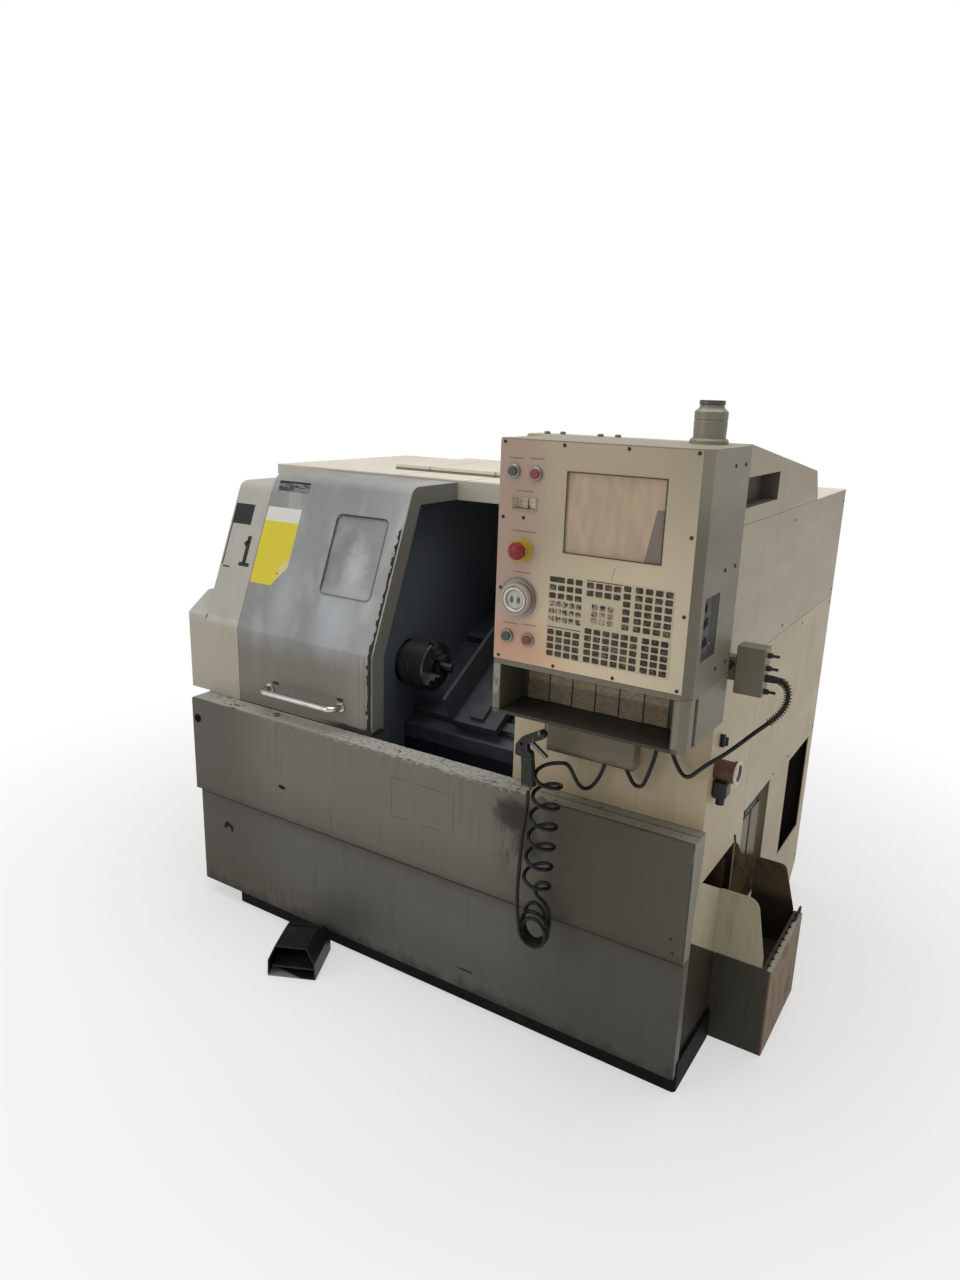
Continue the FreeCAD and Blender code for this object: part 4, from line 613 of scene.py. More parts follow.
# ---- right housing ----
# Folded cream steel walls under and behind the control box, yellowed and oiled low down.
# They are screwed to the frame, and the cabinet's roof is bolted on from above.
wall = old_paint("right wall paint", (0.495, 0.41, 0.27), 0.45, 0.1, 0.1, 0.06)
x, y, z = wall.axes
wall.lay(z.step(1119, 1122), (0.415, 0.365, 0.262))
wall.lay(z.step(700, 250) * 0.45, (0.33, 0.27, 0.17))
wall.lay(wall.noise(90, (1, 1, 2.5), 6).step(0.5, 0.72) * 0.3, (0.33, 0.27, 0.175))
# painted shadow: the wall under the tray is darkened where the tray shades it
shadow_under_tray = z.step(830, 915) * z.step(1060, 1030) * y.step(66, 60) * x.step(1750, 1740)
wall.lay(shadow_under_tray * 0.85, (0.07, 0.058, 0.036))
smudge = wall.oval((1400, 44, 1000), (70, 60, 30), 1.4, 0.6, 24)
wall.lay(smudge * x.step(1750, 1740) * 0.8, (0.028, 0.02, 0.013))
on_duct = y.step(23.5, 21.5) * z.step(850, 855)
wall.lay(on_duct * 0.85, (0.12, 0.11, 0.076))
duct_grime = (z - wall.noise(30, (2, 1, 1), 5) * 40).step(868, 850)
wall.lay(on_duct * duct_grime * 0.8, (0.03, 0.025, 0.018))
wall.lay(x.step(1752, 1748) * 0.25, (0.3, 0.24, 0.15))
in_recess = x.between(1700, 1749) * y.between(122, 422) * z.step(1480, 1500)
wall.lay(in_recess * 0.85, (0.085, 0.082, 0.068), 0.6)
duct_edge = x.between(1340, 1580, 6)
wall.lay(duct_edge * z.step(872, 866) * z.step(856, 862) * y.step(46, 40) * 0.8,
         (0.02, 0.017, 0.012))
dress(wall, "right_front_wall", "side_wall_upper", "side_wall_lower", "upper_cabinet")
fasten("cabinet_roof_bolts", (8, 6, 1.2, 6, 2, -1),
       [(x, y, 1657.8) for x, y in ((1257, 96), (1292, 112), (1398, 103), (1440, 110))],
       worn_steel, way=UP, spin=0.7)
wall_face = 1750.8
fasten("side_wall_screws", (4.2, 2, 0.8, 16, 1.6, 0.9),
       [(wall_face, y, z) for y in (96, 640, 1290) for z in (1140, 1440)]
       + [(wall_face, y, 1095) for y in (300, 900, 1290)]
       + [(wall_face, y, z) for y in (98, 760, 940, 1285) for z in (640, 130)],
       worn_steel, way=RIGHT)


# ---- beacon ----
# A turned plastic warning light, its lens yellowed to beige.
# It is screwed down on the roof of the control box.
lens = Finish("beacon lens", (0.235, 0.225, 0.165), 0.35, coat=0.2)
lens.mottle(0.3, 20)
lens.lay(lens.z.step(1738, 1742), (0.09, 0.085, 0.075))
dress(lens, "beacon")


# ---- control box ----
# A folded grey steel shroud, hung on the front of the cabinet.  Black screws hold its
# printed front plate, which carries screen, keys, meter, buttons and hand wheel; a folded
# tray hangs under it.
shroud = old_paint("control box paint", (0.18, 0.16, 0.117), 0.45, 0.08, 0.08, 0.08)
shroud.lay(shroud.z.step(1460, 1610) * 0.75, (0.32, 0.29, 0.222))
dress(shroud, "pendant_shroud")

plate_front = -190
PLATE_CREAM = (0.6, 0.5, 0.345)
plate = old_paint("front plate print", PLATE_CREAM, 0.4, 0.05, 0.03, 0.04)
x, y, z = plate.axes
pink_side = (x + (plate.noise(120) - 0.5) * 60).step(1455, 1350)
plate.lay(pink_side * 0.65, (0.52, 0.34, 0.285))
plate.lay(plate.oval((1355, -190, 1190), (120, 60, 62), 0.7, 0.6, 60) * 0.55, (0.55, 0.28, 0.17))
plate.lay(x.step(1640, 1754) * 0.45, (0.4, 0.365, 0.275))
# painted light and shade: the plate is darkened towards the upper left and brightened towards the
# lower right
painted_light_across_plate = (x - 1300) * 0.6 - (z - 1170)
plate.shade(0.72 + painted_light_across_plate.step(-240, 110) * 0.36)
for strip_x, strip_z, strip_long in ((1337, 1616, 32), (1389, 1617, 34), (1362, 1546, 42),
                                     (1364, 1458, 58), (1361, 1366, 44), (1339, 1246, 38),
                                     (1387, 1248, 36)):
    strip = plate.field(strip_x - strip_long / 2, strip_x + strip_long / 2, strip_z - 1.2,
                        strip_z + 1.2, 0.5)
    plate.lay(strip * 0.65, (0.1, 0.075, 0.055))
dial_x = 1358
ring_in, ring_out = (plate.oval((dial_x, plate_front, 1306), (size, 60, size), 0, 0.02)
                     for size in (46, 49))
plate.lay(ring_out * (1 - ring_in) * z.step(1300, 1330) * 0.6, (0.12, 0.09, 0.07))
# a pen stroke above the keys
pen = ((x - z * 0.23).between(1582.5 - 1390 * 0.23, 1584 - 1390 * 0.23, 0.6)
       * z.between(1378, 1403, 2))
plate.lay(pen * 0.6, (0.12, 0.1, 0.08))
dress(plate, "control_plate")

screw_black = Finish("blackened screw", (0.035, 0.03, 0.027), 0.4, 0.5)
screw_black.mottle(0.8, 3)
fasten("plate_screws", (4, 1.6, 0.7, 20, 1.7, 1), [(x, plate_front + 0.3, z) for x, z in (
    (1308, 1650), (1453, 1649), (1599, 1650), (1746, 1650), (1309, 1486), (1361, 1488),
    (1745, 1485), (1309, 1325), (1745, 1323), (1310, 1165), (1453, 1164), (1598, 1164),
    (1744, 1164))], screw_black)

screen = Finish("screen glass", (0.45, 0.34, 0.235), 0.14)
screen.lay(screen.noise(70, (1, 1, 2), 4).step(0.45, 0.7) * 0.45, (0.47, 0.38, 0.245))
screen.lay(screen.z.step(1470, 1425) * 0.35, (0.33, 0.265, 0.215))
screen.mottle(0.5, 24, stretch=(0.8, 1, 2.6), detail=5, shift=2)
dark_slant = ((screen.x - screen.z * 0.185).step(1648.5 - 1430 * 0.185, 1650 - 1430 * 0.185)
              * screen.z.step(1533.5, 1532))
screen.lay(dark_slant * 0.85, (0.155, 0.13, 0.115), 0.2)
screen.lay((screen.x - screen.z * 0.2).step(1487 - 1580 * 0.2, 1470 - 1580 * 0.2) * 0.5,
           (0.28, 0.185, 0.14))
dress(screen, "screen_glass")
screen_edge = frame_piece("screen_edge", 1462.5, 1687.5, 1421.5, 1596.5, plate_front - 0.1,
                          1.5, 2.4, 0.8)
fit(screen_edge, moulded("screen edge", (0.06, 0.045, 0.038), 0.5))

film = Finish("key film", (0.5, 0.425, 0.3), 0.5)
film.mottle(0.14, 30)
for bar_x0, bar_x1, bar_z in ((1434, 1516, 1254.5), (1524, 1607, 1369.6)):
    bar = film.field(bar_x0, bar_x1, bar_z - 0.9, bar_z + 0.9, 0.4)
    film.lay(bar, (0.05, 0.035, 0.028))
dress(film, "keypad")

# keys: left, top and steps of each block, with its columns and rows
key_face = plate_front - 0.8
KEY_WIDE, KEY_HIGH = 16.4, 12.4
blocks = {"numbers": (1435, 1368, 20.9, 18, 4, 3), "letters": (1435, 1314, 16.2, 17.2, 5, 3),
          "shift": (1435, 1249, 20.9, 16.3, 4, 4), "modes": (1525, 1366, 20.9, 17.2, 4, 2),
          "jog": (1538, 1320, 18.6, 15.2, 3, 3), "axes": (1610.5, 1370, 0, 16.6, 1, 6),
          "functions": (1637, 1370, 22, 16.6, 4, 6), "edit": (1526, 1265, 21.3, 16, 6, 5),
          "override": (1659, 1265, 21.2, 16, 3, 5)}
key_spots = []
small_spots = []
for name, (left, top, step_x, step_z, columns, rows) in blocks.items():
    for row in range(rows):
        for column in range(columns):
            if name == "numbers" and row == 0 and column < 2:
                continue
            spot = (left + step_x * column + KEY_WIDE / 2, key_face + 0.05,
                    top - step_z * row - KEY_HIGH / 2)
            (small_spots if name in ("letters", "jog") else key_spots).append(spot)


def key_pattern(name, wide, high):
    """A domed rounded square, lying on the origin."""
    pick()
    bpy.ops.mesh.primitive_cube_add(size=MM, location=(0, 0, 0))
    piece = shaped(name, (wide, high, 0.9))
    upright = piece.modifiers.new("rounded corners", "BEVEL")
    upright.width = 2.2 * MM
    upright.segments = 3
    upright.limit_method = "WEIGHT"
    weights = piece.data.attributes.new("bevel_weight_edge", "FLOAT", "EDGE")
    for edge in piece.data.edges:
        one, two = (piece.data.vertices[i].co for i in edge.vertices)
        weights.data[edge.index].value = 1 if abs(one.z - two.z) > 0.5 * MM else 0
    bpy.ops.object.modifier_apply(modifier=upright.name)
    rim(piece, top_face, 1.3, -0.25)
    return piece


key = Finish("key print", (0.034, 0.028, 0.018), 0.45)
key.lay(key.noise(19, detail=2).step(0.5, 0.68) * 0.75, (0.15, 0.128, 0.082))
key.lay(key.z.step(1268, 1262) * key.x.step(1655, 1657) * 0.85, (0.022, 0.016, 0.013))
key.lay(key.z.step(1255, 1250) * key.x.step(1520, 1518) * 0.6, (0.045, 0.03, 0.02))
key_mark = key.noise(2.6, (1.6, 1, 1), 1, 6).step(0.6, 0.68)
key.lay(key_mark * 0.35, (0.36, 0.3, 0.21))
fit(set_out(key_pattern("keys", KEY_WIDE, KEY_HIGH), key_spots), key)
worn_keys = Finish("worn key print", (0.22, 0.185, 0.125), 0.45)
worn_keys.lay(worn_keys.noise(15, detail=3).step(0.46, 0.58) * 0.8, (0.42, 0.36, 0.25))
worn_keys.lay(worn_keys.noise(8, detail=1, shift=4).step(0.52, 0.6), (0.03, 0.026, 0.018))
fit(set_out(key_pattern("small_keys", 13.4, 12), small_spots), worn_keys)
fit(set_out(key_pattern("wide_key", 37, KEY_HIGH), [(1453.6, key_face + 0.05, 1361.8)]),
    key)

bezel = Finish("bezel steel", (0.26, 0.245, 0.22), 0.38, 0.7)
bezel.mottle(0.4, 6)
dress(bezel, "panel_bezels")

meter = Finish("meter face", (0.8, 0.7, 0.56), 0.4)
meter.mottle(0.1, 30)
ticks = meter.field(1339, 1386, 1519.5, 1522.5, 0.3)
meter.lay(ticks * meter.x.math("PINGPONG", meter.x, 2).step(0.7, 0.4), (0.04, 0.035, 0.03))
meter.lay(meter.z.step(1508.5, 1507.5) * 0.6, (0.2, 0.15, 0.11))
dress(meter, "load_meter")
fit(frame_piece("meter_edge", 1330.5, 1393.5, 1503.5, 1534.5, plate_front - 0.1, 2, 2.6,
                1.6), moulded("meter rim", (0.33, 0.28, 0.22), 0.4))

green_plastic = moulded("green button", (0.07, 0.086, 0.064))
red_plastic = moulded("red button", (0.235, 0.055, 0.05))
dress(black_plastic, "meter_needle")
dress(green_plastic, "power_on_button", "cycle_start_button")
dress(red_plastic, "power_off_button", "feed_hold_button")
knob = Finish("emergency red", (0.225, 0.01, 0.011), 0.3, coat=0.2)
knob.mottle(0.5, 12)
knob.lay(knob.y.step(-205, -202), (0.1, 0.012, 0.014))
dress(knob, "estop_button")
dress(moulded("emergency yellow", (0.46, 0.345, 0.045), 0.4), "estop_collar")
dial = Finish("dial silver", (0.44, 0.42, 0.36), 0.32, 0.3)
dial.mottle(0.5, 7, detail=4)


def dial_ring(inner, outer):
    """A ring on the dial, between two distances from its middle."""
    whole = dial.oval((dial_x, -200, 1306), (outer, 900, outer), 0, 0.03)
    return whole * (1 - dial.oval((dial_x, -200, 1306), (inner, 900, inner), 0, 0.03))


dial.lay(dial_ring(32.5, 60), (0.44, 0.33, 0.26), 0.5, 0)
dial.lay(dial_ring(28.5, 31.5) * 0.8, (0.06, 0.055, 0.045), 0.5)
dial.lay(dial_ring(20.5, 22.5) * 0.75, (0.12, 0.11, 0.09), 0.5)
dial.lay(dial_ring(22.5, 27.5) * 0.6, (0.62, 0.59, 0.5), 0.25)
for pad_x in (dial_x - 8.5, dial_x + 8.5):
    pad = dial.oval((pad_x, -200, 1305), (4.6, 60, 8.5), 0.4, 0.25, 5)
    dial.lay(pad * 0.85, (0.05, 0.048, 0.035), 0.4)
dress(dial, "jog_wheel")

tray = old_paint("tray paint", (0.215, 0.198, 0.142), 0.5, 0.12, 0.1, 0.1)
x, y, z = tray.axes
tray_inside = tray.field(1314, 1741, 1024, 1150, 2) * y.step(-191, -186)
tray.lay(tray_inside * 0.9, (0.065, 0.06, 0.046), 0.45)
tray.lay(tray_inside * z.step(1033, 1031.5) * 0.8, (0.022, 0.021, 0.018), 0.4)
cheek = x.step(1316.5, 1314) * y.step(-180, -186)
cheek_wear = tray.noise(14, (1, 1, 2.5), 6).step(0.44, 0.52)
tray.lay(cheek * 0.6, (0.135, 0.125, 0.095))
tray.lay(cheek * cheek_wear * 0.55, (0.36, 0.34, 0.29))
tray.lay(z.step(1036, 1033) * y.step(-186, -189) * 0.85, (0.026, 0.023, 0.016))
tray.lay(tray.oval((1352, 20, 985), (52, 40, 34), 1, 0.5, 18) * 0.85, (0.028, 0.021, 0.015), 0.4)
dress(tray, "control_tray")

card_wide, card_high = 57 * MM, 96 * MM
pick()
bpy.ops.mesh.primitive_plane_add(size=1, location=(0, 0, 0))
sheet = shaped("tray_cards", (card_wide, card_high, 1))
in_edit(bpy.ops.mesh.subdivide, number_cuts=7)
for corner in sheet.data.vertices:
    high = corner.co.y / card_high + 0.5
    wide = corner.co.x / card_wide
    corner.co.z += (1.4 * (1 - high) * (0.6 + wide * wide * 4) + 0.5) * MM
give_gauge(sheet, 0.4)
card = Finish("old card", (0.43, 0.345, 0.215), 0.6)
card.mottle(0.5, 30, detail=4)
card_row = card.z.math("PINGPONG", card.z, 2.4).step(1.3, 1)
card.lay(card_row * card.noise(11, (1, 1, 0.3), 3).step(0.45, 0.5) * 0.55, (0.075, 0.064, 0.05))
card.lay(card.z.step(1086, 1078) * 0.5, (0.085, 0.075, 0.058), 0.5)
fit(set_out(sheet, [(1357 + 60.6 * place, -68.3, 1080 + 1.5 * (place % 2))
                    for place in range(6)]), card)

port_face = 1770.1
port_plate = slab("port_plate", (1769.3, -140, 1219), (port_face, -49, 1354), 0.2)
port = Finish("port plate grey", (0.066, 0.071, 0.06), 0.5)
# painted shade: the plate is darkened towards the recess's deep side and along its bottom
port_shade = (port.y + (port.noise(30) - 0.5) * 14).step(-106, -92)
port.lay(port_shade * 0.9, (0.024, 0.019, 0.014), 0.6)
port.lay(port.z.step(1244, 1232) * 0.75, (0.022, 0.02, 0.016), 0.6)
fit(port_plate, port)
socket = disc("port_sockets", 6.2, 2.6, 0.7, 24, 1.5, 1.6)
socket.data.transform(Matrix.Diagonal((0.8, 1.7, 1, 1)))
fit(set_out(socket, [(port_face, y, z) for y, z in (
    (-133, 1336), (-121, 1304), (-134, 1300), (-119, 1260), (-133, 1258))], RIGHT),
    black_plastic)
fasten("port_cap", (3.4, 4, 0.8, 6, 1, -0.6), [(port_face, -102, 1253)], bezel, way=RIGHT)
fasten("control_box_screws", (4.4, 2.2, 0.9, 16, 1.7, 1),
       [(1770.8, y, z) for y in (-30, 40) for z in (1180, 1400, 1620)],
       screw_black, RIGHT)


# ---- work area ----
# Behind the opening: blue-black liner, the slant bed, the headstock's chuck and the turret,
# all wet with coolant and swarf.
liner = Finish("wet liner", (0.095, 0.113, 0.145), 0.3)
liner.lay(liner.noise(60, (1, 1, 3), 6).step(0.5, 0.75) * 0.5, (0.12, 0.128, 0.138), 0.5)
liner.lay(liner.x.step(1000, 1250) * 0.8, (0.3, 0.33, 0.37))
dress(liner, "work_liner")
iron = Finish("oiled cast iron", (0.07, 0.076, 0.086), 0.4, 0.3)
iron.mottle(0.8, 40, detail=5)
dress(iron, "bed_casting", "headstock", "spindle_motor", "saddle", "cross_slide")
steel = Finish("turned steel", (0.15, 0.15, 0.15), 0.3, 0.85)
steel.mottle(0.9, 12, detail=5)
dress(steel, "spindle", "motor_pulley", "chuck_body", "chuck_jaw_1", "chuck_jaw_2",
      "chuck_jaw_3", "turret")
dress(moulded("belt rubber", (0.018, 0.018, 0.018), 0.7), "drive_belt")


# ---- fittings on the right side ----
# A small painted air manifold box with plugs and an elbow, the round plastic power inlet
# below it, and the column and bulkheads seen through the side wall's openings.
dress(old_paint("manifold paint", (0.192, 0.176, 0.122), 0.45), "air_manifold")
dress(black_plastic, "side_fittings")
fasten("manifold_screws", (3.6, 2.2, 0.8, 6, 1.3, 0.9),
       [(x, 90.3, z) for x in (1792, 1838) for z in (1200, 1102)], worn_steel)
bracket_one = slab("cable_brackets", (1750.5, 140, 934), (1763, 150, 966), 1.2)
bracket_two = slab("cable_bracket_low", (1750.5, 176, 925), (1761, 184, 947), 1.2)
for bracket in (bracket_one, bracket_two):
    rim(bracket, lambda face: face.normal.x > 0.99 and face.area > 1e-5, 1.6, 1)
fit(merged("cable_brackets", [bracket_one, bracket_two]), black_plastic)
inlet_rim = disc("inlet_rim", 29.6, 6, 1.2, 40, 6.5)
in_edit(bpy.ops.mesh.delete, type="FACE")
fit(set_out(inlet_rim, [(1802, 134, 880)], RIGHT),
    moulded("inlet rim", (0.62, 0.56, 0.48), 0.4))
dress(moulded("inlet plastic", (0.104, 0.05, 0.031), 0.45), "power_inlet")
post = Finish("column paint", (0.205, 0.18, 0.122), 0.5)
post.mottle(0.4, 30, stretch=(1, 1, 4), detail=4)
post.lay((post.z + (post.noise(16, (1, 1, 0.4)) - 0.5) * 60).step(572, 578),
         (0.014, 0.012, 0.01), 0.5)
dress(post, "slot_column")
bulkhead = slab("side_bulkhead", (1480, 734, 90.2), (1747.5, 736, 700), 0.4)
side_wall = slab("side_bulkhead_long", (1480, 736, 90.2), (1482, 1305, 700), 0.4)
dim = Finish("bulkhead paint", (0.3, 0.26, 0.175), 0.7)
# painted shade: the bulkhead's back and the long inner wall are painted near black for the dark
# inside of the machine
dim.lay(dim.y.step(735, 736), (0.01, 0.009, 0.008))
fit(merged("side_bulkhead", [bulkhead, side_wall]), dim)


# ---- chip bin ----
# An open tank of welded sheet on the floor, painted and rusted, and the folded chute that
# drops chips into it.  Sheet guards are screwed to the machine's side above them.
tank = old_paint("tank paint", (0.045, 0.04, 0.029), 0.5, 0.3)
x, y, z = tank.axes
tank_side = x.step(1905, 1911)
tank.lay(tank_side * 0.9, (0.235, 0.158, 0.085), 0.6)
tank.lay(tank.noise(60, (1, 1, 2), 7).step(0.5, 0.68) * tank_side * 0.6, RUST, 0.7)
tank.lay(tank.noise(30, (1, 1, 1.4), 7).step(0.56, 0.66) * tank_side * 0.5,
         (0.06, 0.05, 0.032), 0.6)
tank.lay(z.step(268, 269) * x.step(1900, 1902) * 0.9, (0.4, 0.375, 0.31), 0.4, 0.2)
dress(tank, "chip_tank")
chute = old_paint("chute paint", (0.415, 0.377, 0.256), 0.5, 0.12)
chute_back = chute.y.step(400, 420)
chute.lay(chute_back, (0.095, 0.07, 0.038), 0.75)
# the back plate's lower part is darker: painted shade, and wet with coolant
chute.lay(chute_back * chute.z.step(330, 285) * 0.85, (0.013, 0.01, 0.009), 0.6)
chute.lay(chute_back * chute.noise(26, detail=7).step(0.5, 0.7) * 0.6, (0.06, 0.034, 0.016), 0.75)
dress(chute, "chip_chute")
trough = Finish("trough rust", (0.07, 0.045, 0.026), 0.7, ior=1.15)
trough.lay(trough.noise(26, detail=7).step(0.5, 0.7) * 0.6, RUST, 0.75)
trough.lay(trough.x.step(1650, 1600), (0.016, 0.019, 0.026), 0.35)
dress(trough, "chip_trough")


def wall_sheet(name, front, thick, outline):
    """A flat sheet against the machine's side, from its outline in depth and height."""
    pick()
    bpy.ops.mesh.primitive_circle_add(vertices=len(outline), radius=1, fill_type="NGON")
    sheet = shaped(name)
    for corner, (back, high) in zip(sheet.data.vertices, outline):
        corner.co = at(front, back, high)
    in_edit(bpy.ops.mesh.normals_make_consistent, inside=False)
    if sheet.data.polygons[0].normal.x < 0:
        sheet.data.flip_normals()
    give_gauge(sheet, thick)
    round_edges(sheet, 0.3)
    return sheet


# the chute's back plate is folded flat against the machine's side, torn at its top corner
flange = wall_sheet("chute_wall_flange", 1751.4, 1.4,
                    [(402, 300), (402, 560), (386, 574), (378, 596), (392, 590), (404, 562),
                     (436, 540), (473, 497), (560, 452), (640, 416), (706, 392), (706, 300)])
rusty = Finish("flange rust", (0.066, 0.047, 0.025), 0.9, ior=1.12)
rusty.lay(rusty.noise(34, detail=7).step(0.44, 0.62) * 0.7, (0.028, 0.018, 0.01), 0.9)
rusty.lay(rusty.noise(12, detail=5).step(0.62, 0.7) * 0.4, (0.13, 0.11, 0.075), 0.8)
fit(flange, rusty)

# two guards close the side between apron and tank, cut to the slope of the chute
chute_guard = wall_sheet("chute_side_guard", 1751.3, 1.2,
                         [(46, 440), (297, 271), (299, 467), (46, 614)])
chute_return = slab("chute_guard_return", (1752, 298, 268), (1758.4, 301, 467), 0.3)
fit(merged("chute_side_guard", [chute_guard, chute_return]), chute)
tank_guard = wall_sheet("tank_side_guard", 1751.3, 1.5,
                        [(46, 91), (297, 91), (297, 271), (46, 440)])
guard = Finish("tank guard paint", (0.04, 0.035, 0.025), 0.6, ior=1.15)
guard.mottle(0.5, 40, detail=5)
tank_return = slab("tank_guard_return", (1752, 296, 91), (1754.6, 299, 270), 0.3)
fit(merged("tank_side_guard", [tank_guard, tank_return]), guard)


def round_line(name, route, radius, roundness):
    """A round rod or hose along points given in millimetres, still a curve."""
    line = bpy.data.curves.new(name, "CURVE")
    line.dimensions = "3D"
    spline = line.splines.new("NURBS")
    spline.points.add(len(route) - 1)
    for point, stop in zip(spline.points, route):
        point.co = (*at(*stop), 1)
    spline.order_u = 3
    spline.use_endpoint_u = True
    line.bevel_depth = radius * MM
    line.bevel_resolution = roundness
    return linked(name, line)


# a bent rod at the tank's far corner, to drag it out by
handle_points = [(1903, 588, 262), (1906, 594, 286), (1908, 610, 303), (1908, 630, 300),
                 (1906, 641, 282), (1903, 641, 262)]
rod = round_line("tank_handle", handle_points, 3, 3)
rod.data.use_fill_caps = True
pick(rod)
bpy.ops.object.convert(target="MESH")
fit(bpy.context.object, black_plastic)


# ---- air gun and its hose ----
# A black blow gun on a wire hook, and one long polyurethane hose: from the manifold it
# sags under the control box, falls in six curls, is gathered in four loops and rises again.
gun = Finish("gun black", (0.022, 0.02, 0.018), 0.38)
gun.lay(gun.noise(8, detail=6).step(0.58, 0.7) * 0.6, (0.16, 0.14, 0.11), 0.45)
dress(gun, "air_gun")
dress(steel, "gun_lever")

HOSE_ACROSS = 10
gland = (1862, 114, 1136)
side_face, tray_under = 1751, 1023
curl_x, curl_y, curl_top = 1394, -60, 868
curl_radius, curl_pitch, curl_drift, curl_sag = 35, 57.3, -3.5, 3
curl_first, curl_count = 0.25, 6
hank_x, hank_back, hank_z = 1368, -42, 415
hank_half_width, hank_half_height, hank_pitch, hank_loops = 39, 62, 11.4, 4
hank_drift, hank_cross, hank_tuck = 4, 9, 22
TURN_POINTS = 16


def curl_point(turns):
    """A point of the hanging curls, after this many turns."""
    angle = math.tau * turns
    return Vector((curl_x + curl_drift * turns + curl_radius * math.cos(angle),
                   curl_y + curl_radius * math.sin(angle),
                   curl_top - curl_pitch * turns + curl_sag * math.sin(angle)))


def hank_point(turns):
    """A point of the gathered loops, drawn in and leaning over at their tops."""
    angle = math.tau * turns
    share = min(turns / (hank_loops - 1), 1)
    tuck = hank_tuck * share * share * (3 - 2 * share)
    top_lean = hank_cross * math.sin(math.pi * turns) * (1 + math.cos(angle)) / 2
    return Vector((hank_x + hank_drift * turns + hank_half_width * math.sin(angle) + top_lean,
                   hank_back - hank_pitch * turns,
                   hank_z - tuck + (hank_half_height - tuck) * math.cos(angle)))


def from_tray(right, back, up):
    """A place from the side wall's face, the apron's face and the tray's underside."""
    return Vector((side_face + right, back, tray_under + up))


curls = [curl_point(curl_first + k / TURN_POINTS) for k in range(curl_count * TURN_POINTS + 1)]
hank = [hank_point(k / TURN_POINTS) for k in range((4 * hank_loops - 1) * TURN_POINTS // 4 + 1)]
lead = Vector((-1, 0, -0.26)).normalized()
coil_inlet = curls[0] - lead * HOSE_ACROSS
tail_low = hank[-1] + Vector((-6, -2, 56))
tail_way = Vector((-0.06, 0.02, 1)).normalized()
# from the gland under the control box, over its two pegs, to the first curl
hanging_run = [
    (147, 107, 107), (156, 101, 87), (154, 94, 63), (142, 86, 40), (121, 77, 16),
    (96, 68, -9), (73, 61, -35), (49, 56, -61), (25, 52, -84), (0, 50, -106),
    (-21, 50, -129), (-39, 50, -149), (-55, 50, -147), (-70, 50, -127), (-83, 50, -103),
    (-90, 50, -79), (-92, 50, -57), (-94, 50, -38), (-100, 50, -24), (-115, 50, -24),
    (-122, 50, -38), (-123, 50, -59), (-124, 50, -83), (-127, 50, -109), (-132, 50, -135),
    (-139, 50, -159), (-146, 50, -182), (-153, 50, -201), (-165, 50, -207),
    (-178, 50, -203), (-190, 50, -185), (-202, 50, -163), (-214, 50, -143),
    (-226, 50, -132), (-239, 50, -131), (-249, 50, -142), (-257, 50, -164),
    (-263, 49, -189), (-272, 46, -213), (-284, 38, -234), (-297, 26, -241),
    (-306, 12, -229), (-312, -2, -208), (-317, -12, -185), (-324, -19, -168),
]
route = [gland, Vector(gland) + Vector((20, 0, 0))]
route += [from_tray(*stop) for stop in hanging_run]
route += [coil_inlet - lead * 16, coil_inlet]
route += curls
route += [curls[-1] + Vector(way) for way in ((-12, -3, -8), (-19, -7, -18), (-16, -7, -28))]
route += hank
route += [tail_low, tail_low + tail_way * HOSE_ACROSS, tail_low + tail_way * 38]
# from the gathered loops up to the air gun
rising_run = [(-420, -84, -499), (-419, -80, -451), (-421, -75, -403), (-420, -69, -356),
              (-417, -63, -311)]
route += [from_tray(*stop) for stop in rising_run]
route += [(1336, -60, 754), (1336, -60, 793)]
air_hose = round_line("air_hose", route, HOSE_ACROSS / 2, 4)
air_hose.data.resolution_u = 4
skin = Finish("hose black", (0.006, 0.006, 0.006), 0.32)
skin.lay(skin.noise(22, detail=5).step(0.56, 0.72) * 0.4, (0.04, 0.034, 0.027), 0.45)
air_hose.data.materials.append(skin.done())
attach(air_hose, "machine")
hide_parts("air_hose_run", "air_hose_coil", "air_hose_tail")
at(*gland)

fasten("hose_pegs", (4.4, 56, 0.8, 20, 1.2, 0.8),
       [(1643, 76.5, 982.5), (1518.5, 76.5, 876.5)], worn_steel)

ruler = air_hose.data.copy()
ruler.bevel_depth = 0
probe = linked("hose_line", ruler)
line_mesh = bpy.data.meshes.new_from_object(
    probe.evaluated_get(bpy.context.evaluated_depsgraph_get()))
line_points = [point.co.copy() for point in line_mesh.vertices]
bpy.data.objects.remove(probe)


def along_hose(distance):
    """The point of the hose's own line at a distance in millimetres, and its heading."""
    left = distance * MM
    for here, there in zip(line_points, line_points[1:]):
        step = (there - here).length
        if left <= step:
            return here.lerp(there, left / step), (there - here).normalized()
        left -= step
    raise ValueError("past the end of the hose")


# a coil of spring wire guards the first stretch, opening into a sleeve at the gland
GUARD_RINGS, GUARD_PITCH = 19, 6.5
rings = []
for place in range(GUARD_RINGS):
    spot, way = along_hose(20 + place * GUARD_PITCH)
    pick()
    bpy.ops.mesh.primitive_torus_add(major_segments=20, minor_segments=6,
                                     major_radius=(8.4 - 0.03 * place) * MM,
                                     minor_radius=1.5 * MM)
    ring = bpy.context.object
    ring.data.transform(Matrix.Translation(spot) @ facing(way))
    rings.append(ring)
spring = Finish("guard steel", (0.045, 0.035, 0.027), 0.4, 0.4)
spring.mottle(0.8, 6)
fit(merged("hose_spring_guard", rings), spring)
sleeve = disc("hose_strain_relief", 9.2, 26, 1, 24)
for corner in sleeve.data.vertices:
    taper = 1 - 0.3 * corner.co.z / (26 * MM)
    corner.co.x *= taper
    corner.co.y *= taper
rim(sleeve, top_face, 0.9, -0.6)
fit(set_out(sleeve, [(1861, 114, 1136)], RIGHT), rubber)
fasten("gun_hose_clamp", (8, 12, 1.2, 24, 1.8), [(1336, -60, 793.5)], worn_steel, way=(0, 0, -1))


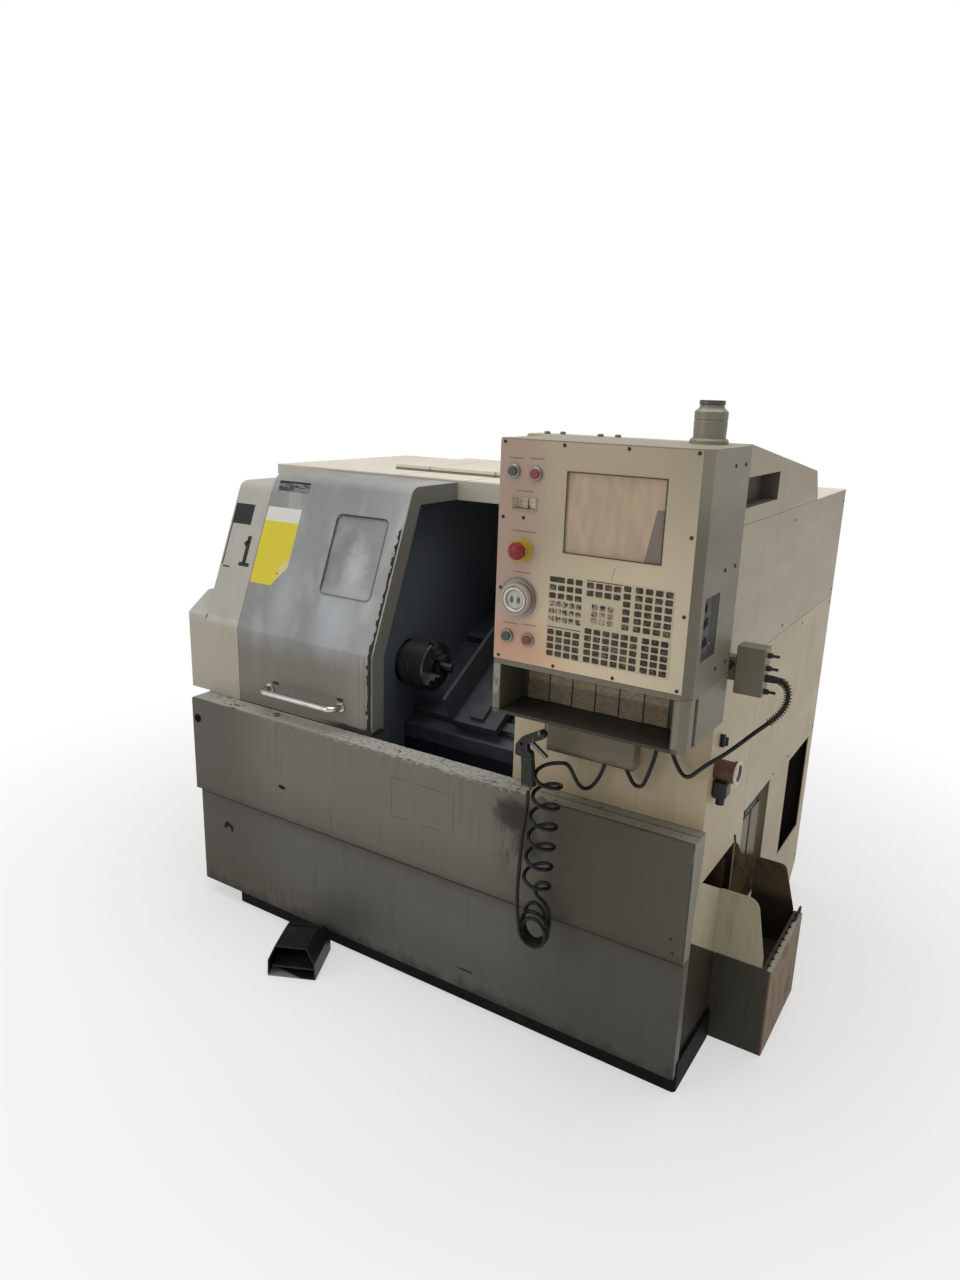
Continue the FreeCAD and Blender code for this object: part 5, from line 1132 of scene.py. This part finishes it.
# ---- foot pedal ----
# A hooded foot switch of black cast metal with a sprung plastic treadle inside, worn bare
# at the lip.  It only stands on the floor.
pedal = Finish("pedal black", (0.012, 0.012, 0.013), 0.38)
pedal.lay(pedal.noise(25, detail=6).step(0.55, 0.75) * 0.4, (0.05, 0.047, 0.042), 0.65)
pedal.lay(pedal.z.step(7.5, 5.5) * pedal.y.step(-172, -182) * 0.85, (0.3, 0.29, 0.27), 0.35)
dress(pedal, "pedal_housing")
dress(black_plastic, "pedal_treadle")


# ---- studio ----
# A plain pale floor and a white world, one large soft lamp overhead, a weak fill from the
# front left, and the camera at the photograph's place.
pick()
bpy.ops.mesh.primitive_plane_add(size=30, location=(0, 0, 0))
floor = bpy.context.object
floor.name = "studio_floor"
pale = Finish("studio floor", (0.8, 0.8, 0.8), 0.7)
away = pale.vector("LENGTH", pale.vector("SUBTRACT", pale.spot, (880, 655, 0)), out="Value")
path = pale.node("ShaderNodeLightPath").socket.node.outputs
seen = Value(pale, path["Is Camera Ray"]).math(
    "MAXIMUM", Value(pale, path["Is Camera Ray"]), Value(pale, path["Is Glossy Ray"]))
white = pale.node("ShaderNodeEmission", {}, {"Color": (1, 1, 1), "Strength": 1})
blend = pale.node("ShaderNodeMixShader", {}, {0: seen * (0.5 + away.step(1100, 2900) * 0.5),
                                              1: Value(pale, pale.surface.outputs[0]), 2: white})
pale.tree.links.new(blend.socket, pale.tree.nodes["Material Output"].inputs["Surface"])
floor.data.materials.append(pale.done())

world = bpy.data.worlds.new("studio")
bpy.context.scene.world = world
world.use_nodes = True
sky = world.node_tree
light_path = sky.nodes.new("ShaderNodeLightPath")
strength = sky.nodes.new("ShaderNodeMapRange")
strength.inputs["To Min"].default_value = 0.5
strength.inputs["To Max"].default_value = 1
sky.links.new(light_path.outputs["Is Camera Ray"], strength.inputs["Value"])
sky.links.new(strength.outputs[0], sky.nodes["Background"].inputs["Strength"])
sky.nodes["Background"].inputs["Color"].default_value = (1, 1, 1, 1)


def lamp(name, place, target, size, watts):
    """A square soft lamp that faces its target."""
    light = bpy.data.lights.new(name, "AREA")
    light.size = size
    light.energy = watts
    holder = linked(name, light)
    holder.location = place
    holder.rotation_euler = (Vector(target) - Vector(place)).to_track_quat("-Z", "Y").to_euler()


lamp("overhead", (0.3, -0.3, 4.8), (0.3, 0, 0), 4, 130)
lamp("fill", (-2.5, -4.5, 2.4), (0, 0, 0.8), 2.5, 40)

yaw, pitch, roll = math.radians(31.97), math.radians(-15.37), math.radians(1.81)
ahead = Vector((-math.sin(yaw) * math.cos(pitch), math.cos(yaw) * math.cos(pitch),
                math.sin(pitch)))
level = ahead.cross(Vector((0, 0, 1))).normalized()
above = level.cross(ahead)
right = level * math.cos(roll) + above * math.sin(roll)
up = above * math.cos(roll) - level * math.sin(roll)
camera = linked("camera", bpy.data.cameras.new("camera"))
camera.matrix_world = (Matrix.Translation((1.4487, -2.5601, 1.7466))
                       @ Matrix((right, up, -ahead)).transposed().to_4x4())
camera.data.lens = 25.11
camera.data.sensor_width = 36
bpy.context.scene.camera = camera
bpy.context.scene.view_settings.view_transform = "Standard"
